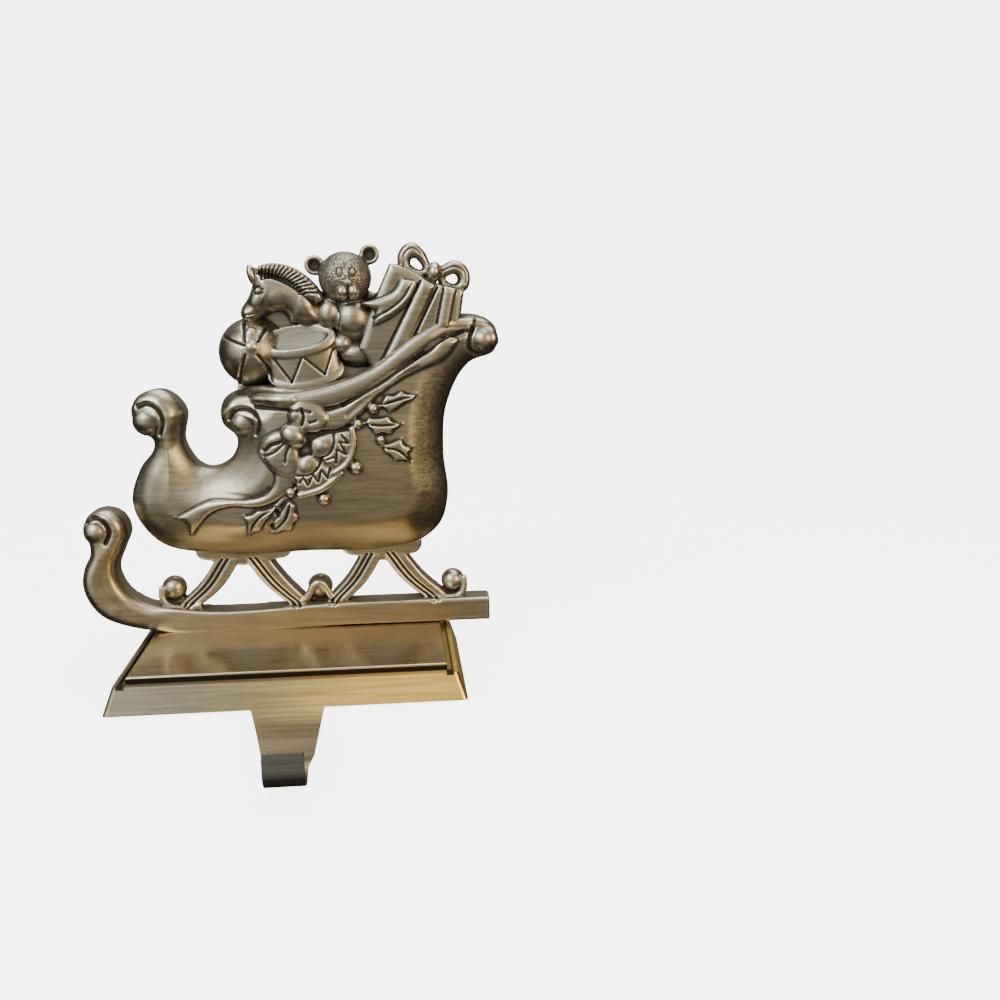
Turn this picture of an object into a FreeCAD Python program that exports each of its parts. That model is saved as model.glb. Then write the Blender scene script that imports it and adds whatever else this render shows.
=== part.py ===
import FreeCAD, Part
import math
import os

# Mantel stocking holder: a cast base with a hook in front, and a sleigh figure
# with toys standing along its back edge. Lengths are millimetres. X points
# right, Y back and Z up. The origin is the middle of the pad's underside,
# where the holder rests on the shelf.

V = FreeCAD.Vector

# Base casting
base_width = 127.0
base_depth = 71.0
base_height = 9.3
base_slope = 3.2
base_corner = 2.0
panel_side = 7.0
panel_front = 8.5
panel_rise = 1.8
panel_edge = 0.8
groove_width = 1.8
groove_depth = 0.9
wall = 2.6
deck = 3.2
hollow_corner = 3.0

# Hook
hook_thick = 2.2
hook_drop = 20.6
hook_reach = 25.8
lip_height = 15.2
lip_width = 14.0
lip_corner = 2.0
tongue_width = 25.6
tongue_waist = 18.4
waist_drop = 14.4
trough_drop = 17.5
trough_front = 16.0
trough_shares = [(0.11, 0.34), (0.25, 0.64), (0.44, 0.90), (0.68, 1.0)]

# Pad, weight and screws
pad_proud = 0.5
pad_thick = 2.0
pad_gap = 0.4
weight_gap = 0.5
weight_head_gap = 5.4
weight_corner = 3.0
screw_span = 76.0
screw_radius = 2.0
screw_length = 9.5
screw_tip_room = 1.0
screw_head_radius = 3.6
screw_head_height = 2.3
slot_width = 0.9
slot_depth = 1.0
screw_clearance = 0.2
thread_clearance = 0.05

# Figure: depths are measured forwards from its flat back
runner_depth = 11.5
runner_round = 1.7
runner_height = 9.6
runner_end = 76.8
bracket_depth = 11.0
bracket_bevel = 1.0
leg_depth = 10.0
leg_groove_depth = 1.2
leg_groove_width = 0.7
leg_top = 39.6
foot_depth = 10.5
foot_bulge = 1.2
foot_bevel = 1.0
foot_floor = 19.0
body_depth = 18.4
body_round = 3.4
relief_root = 9.0
stud_bulge = 0.55
dome_sides = 10
detail_step = 0.15
bead_rise = 0.9
eye_rise = 1.2
rim_rise = 1.6
ribbon_rise = 1.9
bow_rise = 3.2
knot_rise = 5.6
leaf_rise = 1.7
bell_sunk = 3.6
toy_back = 3.5
ball_radius = 13.1
seam_width = 0.8
seam_depth = 0.7
drum_radius = 13.6
drum_height = 15.5
hoop_rise = 0.9
hoop_height = 2.8
cord_half = 0.6
cord_count = 6
cord_spread = 26
horse_depth = 15.0
mane_depth = 13.2
ear_depth = 10.0
gift_depth = 15.0
gift_bevel = 1.0
gift_band_rise = 1.0
gift_band_bevel = 0.5
gift_tail_rise = 2.0
gift_bow_depth = 12.0
gift_bow_bevel = 0.8
backing_depth = 7.0
hair_ribs = 11

# Places that follow from the sizes above
seat_height = base_height + panel_rise
figure_back = base_depth - 1.0
runner_foot = 11.3
screw_row = figure_back - runner_depth / 2
hollow_side = base_slope + wall
hollow_top = seat_height - deck


def box(x0, x1, y0, y1, z0, z1):
    return Part.makeBox(x1 - x0, y1 - y0, z1 - z0, V(x0, y0, z0))


def rounded_box(x0, x1, y0, y1, z0, z1, radius):
    block = box(x0, x1, y0, y1, z0, z1)
    return block.makeFillet(radius, upright_edges(block))


def upright_edges(shape):
    found = []
    for edge in shape.Edges:
        limits = edge.BoundBox
        if limits.XLength < 1e-4 and limits.YLength < 1e-4:
            found.append(edge)
    return found


def unit(x, z):
    length = math.hypot(x, z)
    return (x / length, z / length)


def arc_edge(start, way, end, place):
    """An arc from a point, along a direction there, to another point."""
    cx, cz = end[0] - start[0], end[1] - start[1]
    chord = math.hypot(cx, cz)
    along = (cx * way[0] + cz * way[1]) / chord
    aside = (-cz * way[0] + cx * way[1]) / chord
    if abs(aside) < 1e-3:
        return Part.makeLine(place(*start), place(*end))
    bulge = math.tan(math.atan2(aside, along) / 2) / 2
    middle = ((start[0] + end[0]) / 2 - cz * bulge, (start[1] + end[1]) / 2 + cx * bulge)
    return Part.Arc(place(*start), place(*middle), place(*end)).toShape()


def arc_pair(start, way, end, last, place):
    """Two arcs that meet smoothly and carry one direction over into another."""
    vx, vz = end[0] - start[0], end[1] - start[1]
    square = vx * vx + vz * vz
    along = vx * (way[0] + last[0]) + vz * (way[1] + last[1])
    turn = 2 * (1 - way[0] * last[0] - way[1] * last[1])
    if turn < 1e-6:
        reach = square / (2 * along)
    else:
        reach = (math.sqrt(along * along + turn * square) - along) / turn
    meet = ((start[0] + end[0] + reach * (way[0] - last[0])) / 2,
            (start[1] + end[1] + reach * (way[1] - last[1])) / 2)
    second = arc_edge(end, (-last[0], -last[1]), meet, place)
    return [arc_edge(start, way, meet, place), second]


def end_way(near, middle, far):
    """The direction at the first of three points on a round stretch."""
    first = unit(middle[0] - near[0], middle[1] - near[1])
    whole = unit(far[0] - near[0], far[1] - near[1])
    turn = 2 * (math.atan2(whole[1], whole[0]) - math.atan2(first[1], first[0]))
    turn = (turn + math.pi) % (2 * math.pi) - math.pi
    angle = math.atan2(first[1], first[0]) - turn / 2
    return (math.cos(angle), math.sin(angle))


def facing(x, z, depth=0.0):
    """A point of the figure: across, up, and forwards from its flat back."""
    return V(x, -depth, z)


def arcs_through(points, closed=False, first=None, last=None, place=facing):
    """Smoothly joined arcs through points, the ends taking the directions given."""
    count = len(points)
    if count == 2 and not closed:
        return [Part.makeLine(place(*points[0]), place(*points[1]))]
    if count == 3 and not closed:
        return [Part.Arc(*[place(*point) for point in points]).toShape()]
    ways = []
    for number in range(count):
        before = points[number - 1]
        after = points[(number + 1) % count]
        here = points[number]
        lead = math.dist(before, here)
        lag = math.dist(here, after)
        one = unit(here[0] - before[0], here[1] - before[1])
        two = unit(after[0] - here[0], after[1] - here[1])
        ways.append(unit(one[0] * lag + two[0] * lead, one[1] * lag + two[1] * lead))
    if not closed:
        ways[0] = first or end_way(points[0], points[1], points[2])
        back = end_way(points[-1], points[-2], points[-3])
        ways[-1] = last or (-back[0], -back[1])
    edges = []
    for number in range(count if closed else count - 1):
        follower = (number + 1) % count
        edges += arc_pair(points[number], ways[number], points[follower], ways[follower], place)
    return edges


def smooth_outline(points):
    return Part.Wire(arcs_through(points, closed=True))


def cornered_outline(runs):
    """Each run starts where the one before it ends, and the last closes the outline."""
    edges = []
    for number, run in enumerate(runs):
        follower = runs[(number + 1) % len(runs)][0]
        edges += arcs_through(run + [follower])
    return Part.Wire(edges)


def stepped(wire):
    """The outline in short straight steps, for details too small to need true arcs."""
    points = [wire.OrderedVertexes[0].Point]
    for edge in wire.OrderedEdges:
        steps = edge.discretize(Deflection=detail_step)
        if (steps[0] - points[-1]).Length > (steps[-1] - points[-1]).Length:
            steps.reverse()
        points += steps[1:]
    points[-1] = points[0]
    return Part.makePolygon(points)


def strip_outline(left, right):
    """Two long curved edges, both listed the same way, joined by straight ends."""
    back = right[::-1]
    edges = arcs_through(left) + arcs_through([left[-1], back[0]])
    edges += arcs_through(back) + arcs_through([back[-1], left[0]])
    return Part.Wire(edges)


def slab(wire, depth, start=0.0):
    solid = Part.Face(wire).extrude(V(0, start - depth, 0))
    solid.translate(V(0, -start, 0))
    return solid


def bevel(shape, size, depth):
    """Bevels the edges that lie in front of a depth."""
    return shape.makeChamfer(size, [edge for edge in shape.Edges if edge.BoundBox.YMax < -depth])


def on_body(wire, rise):
    """A form that lies on the body's front."""
    return slab(wire, body_depth + rise, relief_root)


def ring(radius, height, sides):
    """Points round the upright axis."""
    turns = [2 * math.pi * number / sides for number in range(sides)]
    return [V(radius * math.cos(turn), radius * math.sin(turn), height) for turn in turns]


def skin(rings):
    """A solid over rings of points, each with as many points as the next."""
    faces = [Part.Face(Part.makePolygon(ends + ends[:1])) for ends in (rings[0], rings[-1])]
    for low, high in zip(rings, rings[1:]):
        for number in range(len(low)):
            corners = [low[number - 1], low[number], high[number], high[number - 1]]
            faces.append(Part.Face(Part.makePolygon(corners + corners[:1])))
    solid = Part.makeSolid(Part.makeShell(faces))
    if solid.Volume < 0:
        solid.reverse()
    return solid


def dome(x, z, radius, bulge, depth, start, sides=dome_sides):
    """A round boss whose domed face points at the viewer."""
    tiers = sides // 5
    rings = [ring(radius, start, sides)]
    for number in range(tiers + 1):
        turn = math.radians(78) * number / tiers
        rings.append(ring(radius * math.cos(turn), depth - bulge * (1 - math.sin(turn)), sides))
    shape = skin(rings)
    shape.rotate(V(0, 0, 0), V(1, 0, 0), 90)
    shape.translate(facing(x, z))
    return shape


def disc(x, z, radius, depth, start=0.0):
    return Part.makeCylinder(radius, depth - start, facing(x, z, start), V(0, -1, 0))


def stud(x, z, radius, depth, start=relief_root):
    return dome(x, z, radius, radius * stud_bulge, depth, start)


def crescent(outer, inner, depth, floor):
    """The dark gap that curls round a scroll's eye."""
    return disc(*outer, depth + 1, floor).cut(disc(*inner, depth + 2, floor - 1))


def flat_backed(shape):
    """Only what lies in front of the figure's flat back."""
    limits = shape.BoundBox
    return shape.common(box(limits.XMin - 1, limits.XMax + 1, limits.YMin - 1, 0,
                            limits.ZMin - 1, limits.ZMax + 1))


def bead(x, z, radius):
    return stud(x, z, radius, body_depth + bead_rise * radius)


def bar(start, end, half):
    """A straight square bar between two points."""
    way = end - start
    side = way.cross(V(0, 1, 0)).normalize() * half
    rise = way.cross(side).normalize() * half
    square = [start + side + rise, start - side + rise, start - side - rise, start + side - rise]
    return Part.Face(Part.makePolygon(square + square[:1])).extrude(way)


# Base casting with its hook

def base_shell():
    bottom = Part.makePolygon([
        V(-base_width / 2, 0, 0), V(base_width / 2, 0, 0),
        V(base_width / 2, base_depth, 0), V(-base_width / 2, base_depth, 0),
        V(-base_width / 2, 0, 0)])
    half_top = base_width / 2 - base_slope
    top = Part.makePolygon([
        V(-half_top, base_slope, base_height), V(half_top, base_slope, base_height),
        V(half_top, base_depth, base_height), V(-half_top, base_depth, base_height),
        V(-half_top, base_slope, base_height)])
    body = Part.makeLoft([bottom, top], True, True)
    slanted = [edge for edge in body.Edges
               if edge.BoundBox.ZLength > base_height / 2 and edge.BoundBox.YMin < base_depth / 2]
    return body.makeFillet(base_corner, slanted)


def raised_panel():
    half = base_width / 2 - panel_side
    panel = box(-half, half, panel_front, base_depth, base_height - 1, seat_height)
    top = [edge for edge in panel.Edges
           if edge.BoundBox.ZMin > seat_height - 0.01 and edge.BoundBox.YMin < base_depth - 0.01]
    return panel.makeFillet(panel_edge, top)


def panel_groove():
    half = base_width / 2 - panel_side
    outer = box(-half - groove_width, half + groove_width, panel_front - groove_width,
                base_depth + 1, base_height - groove_depth, base_height + 1)
    return outer.cut(box(-half, half, panel_front, base_depth + 2,
                         base_height - groove_depth - 1, base_height + 2))


def hollow():
    half = base_width / 2 - hollow_side
    return rounded_box(-half, half, hollow_side, base_depth - wall, -1, hollow_top, hollow_corner)


def sideways(y, z):
    return V(0, y, z)


def hook_strip():
    """The strap in side view, from its inner line: down the tongue, round the trough, up the lip."""
    lip_back = hook_thick - hook_reach
    floor = hook_thick - hook_drop
    lean = base_slope / base_height
    bend = [(0.0, 0.0)] + [(along * lip_back, down * floor) for along, down in trough_shares]
    bend += [(lip_back + 1.8, floor + 2.2), (lip_back, floor + 6.8)]
    edges = [Part.makeLine(sideways(lean * base_height / 2, base_height / 2), sideways(0, 0))]
    edges += arcs_through(bend, first=unit(-lean, -1), last=(0, 1), place=sideways)
    edges.append(Part.makeLine(sideways(*bend[-1]), sideways(lip_back, lip_height - hook_drop)))
    profile = Part.Wire(edges).makeOffset2D(-hook_thick, 0, True, True)
    profile.translate(V(-tongue_width, 0, 0))
    return profile.extrude(V(2 * tongue_width, 0, 0))


def tongue_trim():
    """The tongue in front view, tapering to the lip's width."""
    half = tongue_width / 2
    waist = tongue_waist / 2
    narrow = lip_width / 2
    low = -hook_drop - 1
    outline = [(narrow, low), (narrow, -trough_drop), (waist, -waist_drop), (half, 0), (half, base_height)]
    outline += [(-x, z) for x, z in reversed(outline)]
    corners = [V(x, hook_reach, z) for x, z in outline + outline[:1]]
    plate = Part.Face(Part.makePolygon(corners)).extrude(V(0, -2 * hook_reach, 0))
    behind = plate.common(box(-half, half, -trough_front, hook_reach, low, base_height))
    lip = box(-narrow, narrow, -hook_reach - 1, -trough_front, low, base_height)
    return behind.fuse(lip)


def hook():
    strap = hook_strip().common(tongue_trim())
    lip_top = lip_height - hook_drop
    corners = [edge for edge in strap.Edges
               if edge.BoundBox.YMax < -hook_reach + hook_thick + 0.1
               and edge.BoundBox.XLength < 0.01
               and edge.BoundBox.ZLength < 0.01
               and edge.BoundBox.ZMax > lip_top - 0.1]
    return strap.makeFillet(lip_corner, corners)


def screw_places():
    return [-screw_span / 2, screw_span / 2]


def hook_base():
    shape = base_shell().fuse(raised_panel())
    shape = shape.cut(panel_groove())
    shape = shape.cut(hollow())
    shape = shape.fuse(hook())
    for x in screw_places():
        shape = shape.cut(Part.makeCylinder(
            screw_radius + screw_clearance, seat_height + 2, V(x, screw_row, -1)))
    return shape.removeSplitter()


def weight_block():
    half = base_width / 2 - hollow_side - weight_gap
    back = screw_row - screw_head_radius - weight_head_gap
    return rounded_box(-half, half, hollow_side + weight_gap, back,
                       pad_thick - pad_proud, hollow_top, weight_corner)


def base_pad():
    half = base_width / 2 - hollow_side - pad_gap
    return rounded_box(-half, half, hollow_side + pad_gap, base_depth - wall - pad_gap,
                       -pad_proud, pad_thick - pad_proud, hollow_corner)


def fixing_screw(x):
    shank = Part.makeCylinder(screw_radius, screw_length, V(x, screw_row, hollow_top))
    foot = hollow_top - screw_head_height
    head = Part.makeCylinder(screw_head_radius, screw_head_height, V(x, screw_row, foot))
    slot = box(x - screw_head_radius, x + screw_head_radius, screw_row - slot_width / 2,
               screw_row + slot_width / 2, foot - 1, foot + slot_depth)
    return head.fuse(shank).cut(slot).removeSplitter()


# Runner, feet, legs and brackets

def runner():
    bottom = runner_foot
    top = bottom + runner_height
    bend = [
        (-54, bottom), (-67, bottom + 2.0), (-77, bottom + 6.8), (-81.8, bottom + 13.5), (-83.5, 31.4),
        (-82.3, 37.8),
        (-79.5, 43.6), (-79.6, 47.4), (-81.6, 52.6), (-78.8, 59.0), (-73.0, 61.3), (-66.6, 58.8),
        (-63.9, 52.6), (-66.6, 44.8), (-69.4, 37.2), (-66.9, 29.4), (-59.6, 23.4), (-48, top)]
    edges = arcs_through(bend, first=(-1, 0), last=(1, 0))
    corners = [facing(*bend[-1]), facing(runner_end, top), facing(runner_end, bottom), facing(*bend[0])]
    edges += [Part.makeLine(start, end) for start, end in zip(corners, corners[1:])]
    shape = bevel(slab(Part.Wire(edges), runner_depth), runner_round, runner_depth / 2)
    shape = shape.cut(crescent((-74.4, 53.4, 6.2), (-75.8, 52.4, 5.2), runner_depth, runner_depth - 2.5))
    for x in screw_places():
        shape = shape.cut(Part.makeCylinder(
            screw_radius + thread_clearance, screw_length - deck + screw_tip_room + 1,
            facing(x, runner_foot - 1, runner_depth / 2)))
    return [shape, stud(-75.8, 52.4, 4.6, runner_depth + 0.9)]


def leg(left, right):
    """A leg from its two long edges, each listed from the top down."""
    shape = slab(stepped(strip_outline(left, right)), leg_depth)
    for share in (0.36, 0.64):
        line = []
        for (x0, z0), (x1, z1) in zip(left, right):
            line.append((x0 + (x1 - x0) * share, z0 + (z1 - z0) * share))
        shape = shape.cut(groove_strip(line))
    return shape


def groove_strip(line):
    half = leg_groove_width / 2
    sides = [[], []]
    for number, (x, z) in enumerate(line):
        before = line[max(number - 1, 0)]
        after = line[min(number + 1, len(line) - 1)]
        way = unit(after[0] - before[0], after[1] - before[1])
        for side, edge in zip((half, -half), sides):
            edge.append((x - way[1] * side, z + way[0] * side))
    return slab(stepped(strip_outline(*sides)), leg_depth + 1, leg_depth - leg_groove_depth)


def legs():
    top = leg_top
    return [
        leg([(-30.6, top), (-38.4, 29.6), (-49, 22.6)], [(-21.6, top), (-30.4, 28.0), (-40.6, 20.2)]),
        leg([(-20.6, top), (-11.8, 28.2), (-2.6, 19.6)], [(-11.6, top), (-4.4, 30.2), (4.4, 21.0)]),
        leg([(26.6, top), (20.4, 30.2), (11.6, 21.0)], [(34.6, top), (27.0, 28.4), (17.8, 19.6)]),
        leg([(33.6, top), (42.2, 28.6), (52.8, 19.8)], [(42.6, top), (50.0, 30.4), (60.4, 22.6)])]


def brackets():
    left = cornered_outline([
        [(-38.6, 44.0), (-38.2, 41.8), (-36.6, 39.4), (-34.2, 38.6)],
        [(-7.2, 38.6), (-4.4, 39.2), (-2.4, 41.4), (-2.0, 44.0)]])
    right = cornered_outline([
        [(17.6, 44.0), (18.2, 41.4), (20.2, 39.2), (23.0, 38.6)],
        [(45.2, 38.6), (47.8, 39.6), (49.4, 42.0), (49.8, 46.0)]])
    return [bevel(slab(stepped(outline), bracket_depth), bracket_bevel, bracket_depth / 2)
            for outline in (left, right)]


def foot(x, z, radius):
    """A scroll that ends a leg, with a bead in its eye."""
    scroll = dome(x, z, radius, foot_bulge, foot_depth, 0)
    neck = slab(cornered_outline([[(x - radius * 0.8, z)], [(x - radius * 0.7, foot_floor)],
                                  [(x + radius * 0.7, foot_floor)], [(x + radius * 0.8, z)]]), leg_depth)
    return [scroll.fuse(neck), stud(x - 0.4, z - 0.4, radius * 0.55, foot_depth + foot_bulge)]


def feet():
    middle = slab(stepped(cornered_outline([
        [(0.6, foot_floor), (4.2, 28.9), (8.6, 31.8), (12.9, 28.6)],
        [(16.4, foot_floor)]])), foot_depth)
    middle = bevel(middle, foot_bevel, foot_depth / 2)
    return foot(-48.2, 28.4, 5.2) + foot(62.0, 27.2, 4.9) + [middle]


# Sleigh body

def body_outline():
    return smooth_outline([
        (50, 45.0), (36, 42.0), (6, 41.8), (-32, 42.0), (-53.4, 48.2), (-61.8, 63.8), (-57.8, 77.0),
        (-51.8, 86.8), (-57.8, 92.4), (-59.6, 100.4), (-48.6, 107.2), (-39.8, 100.2), (-40.4, 86.0),
        (-32.6, 76.6), (-22.0, 81.6), (-20.4, 87.2), (-25.8, 94.0), (-24.6, 103.0), (-16.0, 107.2),
        (8.0, 107.2), (30.0, 113.6), (50.0, 127.0), (66.0, 134.0), (79.2, 130.4), (82.3, 124.8),
        (79.8, 119.2),
        (70.4, 115.2), (61.4, 99.6), (59.6, 80.0), (60.9, 62.0), (58.0, 52.0)])


def body():
    shape = bevel(slab(body_outline(), body_depth), body_round, body_depth / 2)
    for outer, inner in (
            ((-52.0, 96.4, 6.7), (-53.8, 94.6, 5.5)),
            ((-16.8, 95.4, 6.3), (-16.8, 93.0, 5.6)),
            ((75.4, 121.8, 6.5), (76.7, 123.3, 5.5))):
        shape = shape.cut(crescent(outer, inner, body_depth, relief_root))
    return [shape] + [stud(x, z, radius, body_depth + eye_rise) for x, z, radius in (
        (-53.4, 95.0, 5.0), (-16.8, 93.6, 4.8), (76.4, 123.0, 4.6))]


def rim():
    """The raised border that runs from the seat scroll up to the rear scroll."""
    outline = cornered_outline([
        [(-17.5, 104.6), (8.0, 104.8), (34.0, 113.8), (56.0, 128.6), (72.0, 130.6)],
        [(74.0, 127.4), (60.0, 126.0), (37.0, 110.0), (9.0, 99.8), (-15.0, 100.6)]])
    return slab(outline, body_depth + rim_rise, relief_root)


# Ribbon, bow, bells and holly

def ribbons():
    right = cornered_outline([
        [(8.0, 98.6), (21.6, 101.0), (38.0, 113.0), (50.1, 117.9), (58.8, 124.0)],
        [(62.9, 128.6)],
        [(63.7, 125.4)],
        [(66.4, 124.6), (59.6, 116.2), (43.9, 110.0), (25.4, 95.4), (8.0, 92.0)]])
    left = cornered_outline([
        [(-2.6, 80.0), (-9.4, 69.0), (-22.0, 66.0), (-34.2, 63.2)],
        [(-44.7, 58.4)],
        [(-40.0, 57.2)],
        [(-38.9, 50.6), (-30.6, 60.6), (-16.0, 62.8), (-4.4, 66.8), (1.0, 75.2)],
        [(1.6, 80.0)]])
    return [on_body(stepped(outline), ribbon_rise) for outline in (right, left)]


def bow_loop(points, eye):
    shape = on_body(stepped(smooth_outline(points)), bow_rise)
    hole = slab(stepped(smooth_outline(eye)), body_depth + 12, body_depth + 1.0)
    return shape.cut(hole)


def bow():
    upper = bow_loop(
        [(1.0, 93.0), (-0.2, 98.6), (4.6, 103.2), (14.0, 96.4), (7.4, 90.8)],
        [(3.2, 94.4), (5.4, 99.4), (8.8, 98.0)])
    lower = bow_loop(
        [(-1.4, 91.4), (-9.4, 89.8), (-12.0, 83.6), (-5.6, 77.2), (0.2, 76.0), (2.8, 84.0)],
        [(-3.0, 89.0), (-10.0, 86.6), (-8.6, 84.6)])
    knot = stud(1.6, 90.4, 3.9, body_depth + knot_rise)
    return [upper, lower, knot]


def bell(rim_x, rim_z, lean, flare, length):
    """A bell sunk into the body, turned so that its mouth points away from its crown."""
    profile = [(flare * 0.14, length), (flare * 0.42, length * 0.88), (flare * 0.6, length * 0.4),
               (flare, 0), (flare, -1.6)]
    shape = skin([ring(radius, height, dome_sides) for radius, height in profile])
    shape.rotate(V(0, 0, 0), V(0, 1, 0), lean)
    shape.translate(facing(rim_x, rim_z, body_depth - bell_sunk))
    return shape


def bells():
    return [
        bell(11.4, 70.6, -27, 7.9, 12.6),
        bell(20.4, 83.2, -64, 7.9, 12.6),
        bead(13.0, 65.2, 2.4),
        bead(25.4, 76.8, 2.7)]


def berries():
    return [bead(x, z, radius) for x, z, radius in (
        (0.2, 67.8, 1.9), (26.6, 93.4, 1.9), (32.6, 99.1, 2.1), (35.1, 87.2, 1.8))]


def leaves():
    """Holly leaves, each with points between hollow edges."""
    outlines = [
        [(35.3, 100.2), (37.6, 104.3), (40.0, 103.7), (43.4, 105.7), (45.2, 104.4), (49.9, 104.3),
         (46.6, 101.6), (44.4, 100.9), (41.9, 99.1), (38.8, 97.5), (37.6, 98.9)],
        [(29.1, 93.6), (30.7, 95.9), (33.6, 95.3), (38.4, 96.1), (39.4, 94.4), (43.9, 93.1),
         (40.8, 91.4), (38.8, 88.9), (36.0, 90.0), (32.6, 89.3), (31.8, 91.4)],
        [(36.1, 85.2), (38.6, 85.8), (43.1, 87.5), (44.0, 85.0), (47.2, 83.6), (45.6, 81.2),
         (46.4, 77.9), (43.0, 79.2), (40.0, 78.8), (39.0, 81.0), (36.3, 82.6)],
        [(-5.0, 63.0), (-9.0, 61.4), (-12.8, 61.2), (-18.6, 58.8), (-17.0, 55.4), (-17.8, 50.0),
         (-14.4, 52.2), (-12.4, 52.4), (-10.6, 56.2), (-7.6, 59.4)],
        [(-0.8, 64.6), (1.7, 63.0), (1.6, 60.0), (2.8, 58.2), (0.8, 56.0), (-0.4, 52.8), (-3.9, 52.6),
         (-8.9, 51.2), (-7.0, 54.0), (-7.0, 56.8), (-4.2, 60.0)]]
    stems = [[(-6.0, 62.0), (1.0, 68.4), (2.0, 66.6), (-3.0, 60.6)],
             [(26.0, 93.2), (31.0, 94.4), (31.0, 92.0), (26.0, 92.0)],
             [(33.0, 99.6), (37.0, 100.8), (37.0, 99.4), (33.0, 98.0)],
             [(35.0, 88.0), (38.4, 85.0), (37.2, 84.0), (34.2, 86.6)]]
    shapes = []
    for points in outlines + stems:
        outline = cornered_outline([[point] for point in points])
        shapes.append(on_body(outline, leaf_rise))
    return shapes


# Toys above the rim

def toy_ball():
    """A ball with seams that run out from its button."""
    x, z = -12.9, 120.6
    shape, core = [dome(x, z, radius, radius, toy_back + radius, 0, 2 * dome_sides)
                   for radius in (ball_radius, ball_radius - seam_depth)]
    for turn in (18, 78, 138):
        seam = box(-ball_radius, ball_radius, -2 * ball_radius, 0, -seam_width / 2, seam_width / 2)
        seam.rotate(V(0, 0, 0), V(0, 1, 0), turn)
        seam.translate(facing(x, z))
        shape = shape.cut(seam.cut(core))
    hub = stud(x + 0.6, z + 1.6, 2.6, toy_back + ball_radius + 0.9)
    return [shape, hub]


def drum_frame(shape):
    """Leans the upright drum to the left and tips its head towards the viewer."""
    shape.rotate(V(0, 0, 0), V(1, 0, 0), 6)
    shape.rotate(V(0, 0, 0), V(0, 1, 0), -13)
    shape.translate(facing(6.6, 107.4, toy_back))
    return shape


def drum():
    hoop = drum_radius + hoop_rise
    top = drum_height + hoop_height
    inner = drum_radius - hoop_rise
    profile = [(hoop, 0), (hoop, hoop_height), (drum_radius, hoop_height), (drum_radius, drum_height),
               (hoop, drum_height), (hoop, top), (inner, top), (inner, top - hoop_rise)]
    shell = skin([ring(radius, height, 2 * dome_sides) for radius, height in profile])
    for number in range(cord_count):
        first, last = [math.radians(190 + turn * cord_spread) for turn in (number, number + 1)]
        low, high = (hoop_height, drum_height) if number % 2 == 0 else (drum_height, hoop_height)
        start = V(drum_radius * math.cos(first), drum_radius * math.sin(first), low)
        end = V(drum_radius * math.cos(last), drum_radius * math.sin(last), high)
        shell = shell.fuse(bar(start, end, cord_half))
    return flat_backed(drum_frame(shell))


def horse():
    head = cornered_outline([
        [(-13.0, 152.6), (-11.4, 146.6), (-15.6, 138.6), (-14.6, 131.4)],
        [(-11.6, 130.8), (-7.6, 135.4), (-1.4, 137.0), (2.4, 126.0)],
        [(16.0, 126.0), (9.6, 144.0), (-7.0, 151.6)]])
    shape = slab(stepped(head), horse_depth)
    cheek = stud(-4.4, 142.0, 5.2, horse_depth + 1.6)
    nose = stud(-13.8, 134.8, 2.9, horse_depth + 1.0)
    neck = stud(6.2, 136.4, 5.4, horse_depth + 1.2)
    eye = stud(-8.8, 144.6, 1.3, horse_depth + 0.9)
    ear = bar(facing(-10.6, 146.6, horse_depth), facing(-12.0, 151.6, horse_depth - 1.0), 1.2)
    return [shape, cheek, nose, neck, eye, ear, mane()]


def mane():
    """The crest down the neck, cut across into locks of hair."""
    outer = [(-9.4, 152.6), (-3.0, 153.8), (4.4, 151.6), (11.0, 147.0), (14.0, 142.0)]
    inner = [(11.4, 138.6), (2.4, 146.6), (-8.8, 150.4)]
    shape = slab(stepped(cornered_outline([outer, inner])), mane_depth + 3.2)
    for number in range(hair_ribs):
        turn = math.radians(116 - number * 86 / hair_ribs)
        start = facing(-4.0 + 11 * math.cos(turn), 136.4 + 11 * math.sin(turn), mane_depth + 3.4)
        end = facing(-4.0 + 22 * math.cos(turn), 136.4 + 22 * math.sin(turn), mane_depth + 3.4)
        shape = shape.cut(bar(start, end, 0.35))
    return shape


def bear():
    shapes = [
        dome(23.4, 148.2, 10.0, 10.0, 18.0, 0, 2 * dome_sides),
        stud(22.0, 142.8, 2.7, 18.6),
        stud(26.4, 142.9, 2.7, 18.6),
        stud(24.2, 146.4, 1.7, 19.0),
        stud(21.6, 150.2, 1.3, 18.2),
        stud(26.4, 150.3, 1.3, 18.2),
        stud(24.6, 131.4, 7.6, 15.8, toy_back),
        stud(16.6, 133.6, 4.8, 14.6, toy_back),
        stud(27.0, 121.6, 6.0, 14.6, toy_back)]
    for ear_x, ear_z in ((12.2, 152.8), (32.9, 156.6)):
        ear = stud(ear_x, ear_z, 3.7, ear_depth, 2.0)
        shapes.append(ear.cut(stud(ear_x, ear_z, 2.3, ear_depth + 1, ear_depth - 1.2)))
    return shapes


def gift():
    side = cornered_outline([
        [(40.4, 153.4)],
        [(44.6, 152.6)],
        [(58.0, 145.6)],
        [(68.6, 142.8)],
        [(66.4, 128.0)],
        [(52.0, 116.0)],
        [(34.0, 112.0)],
        [(27.6, 121.6)],
        [(34.8, 141.2)]])
    shape = bevel(slab(side, gift_depth), gift_bevel, gift_depth / 2)
    bands = [
        [(52.2, 147.4), (58.0, 144.6), (46.4, 121.0), (36.0, 116.0)],
        [(60.4, 144.4), (65.6, 143.0), (62.4, 128.0), (57.0, 128.0)]]
    shapes = [shape]
    for points in bands:
        outline = cornered_outline([[point] for point in points])
        shapes.append(bevel(slab(outline, gift_depth + gift_band_rise), gift_band_bevel, gift_depth))
    shapes.append(gift_tail())
    return shapes + gift_bow()


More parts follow.
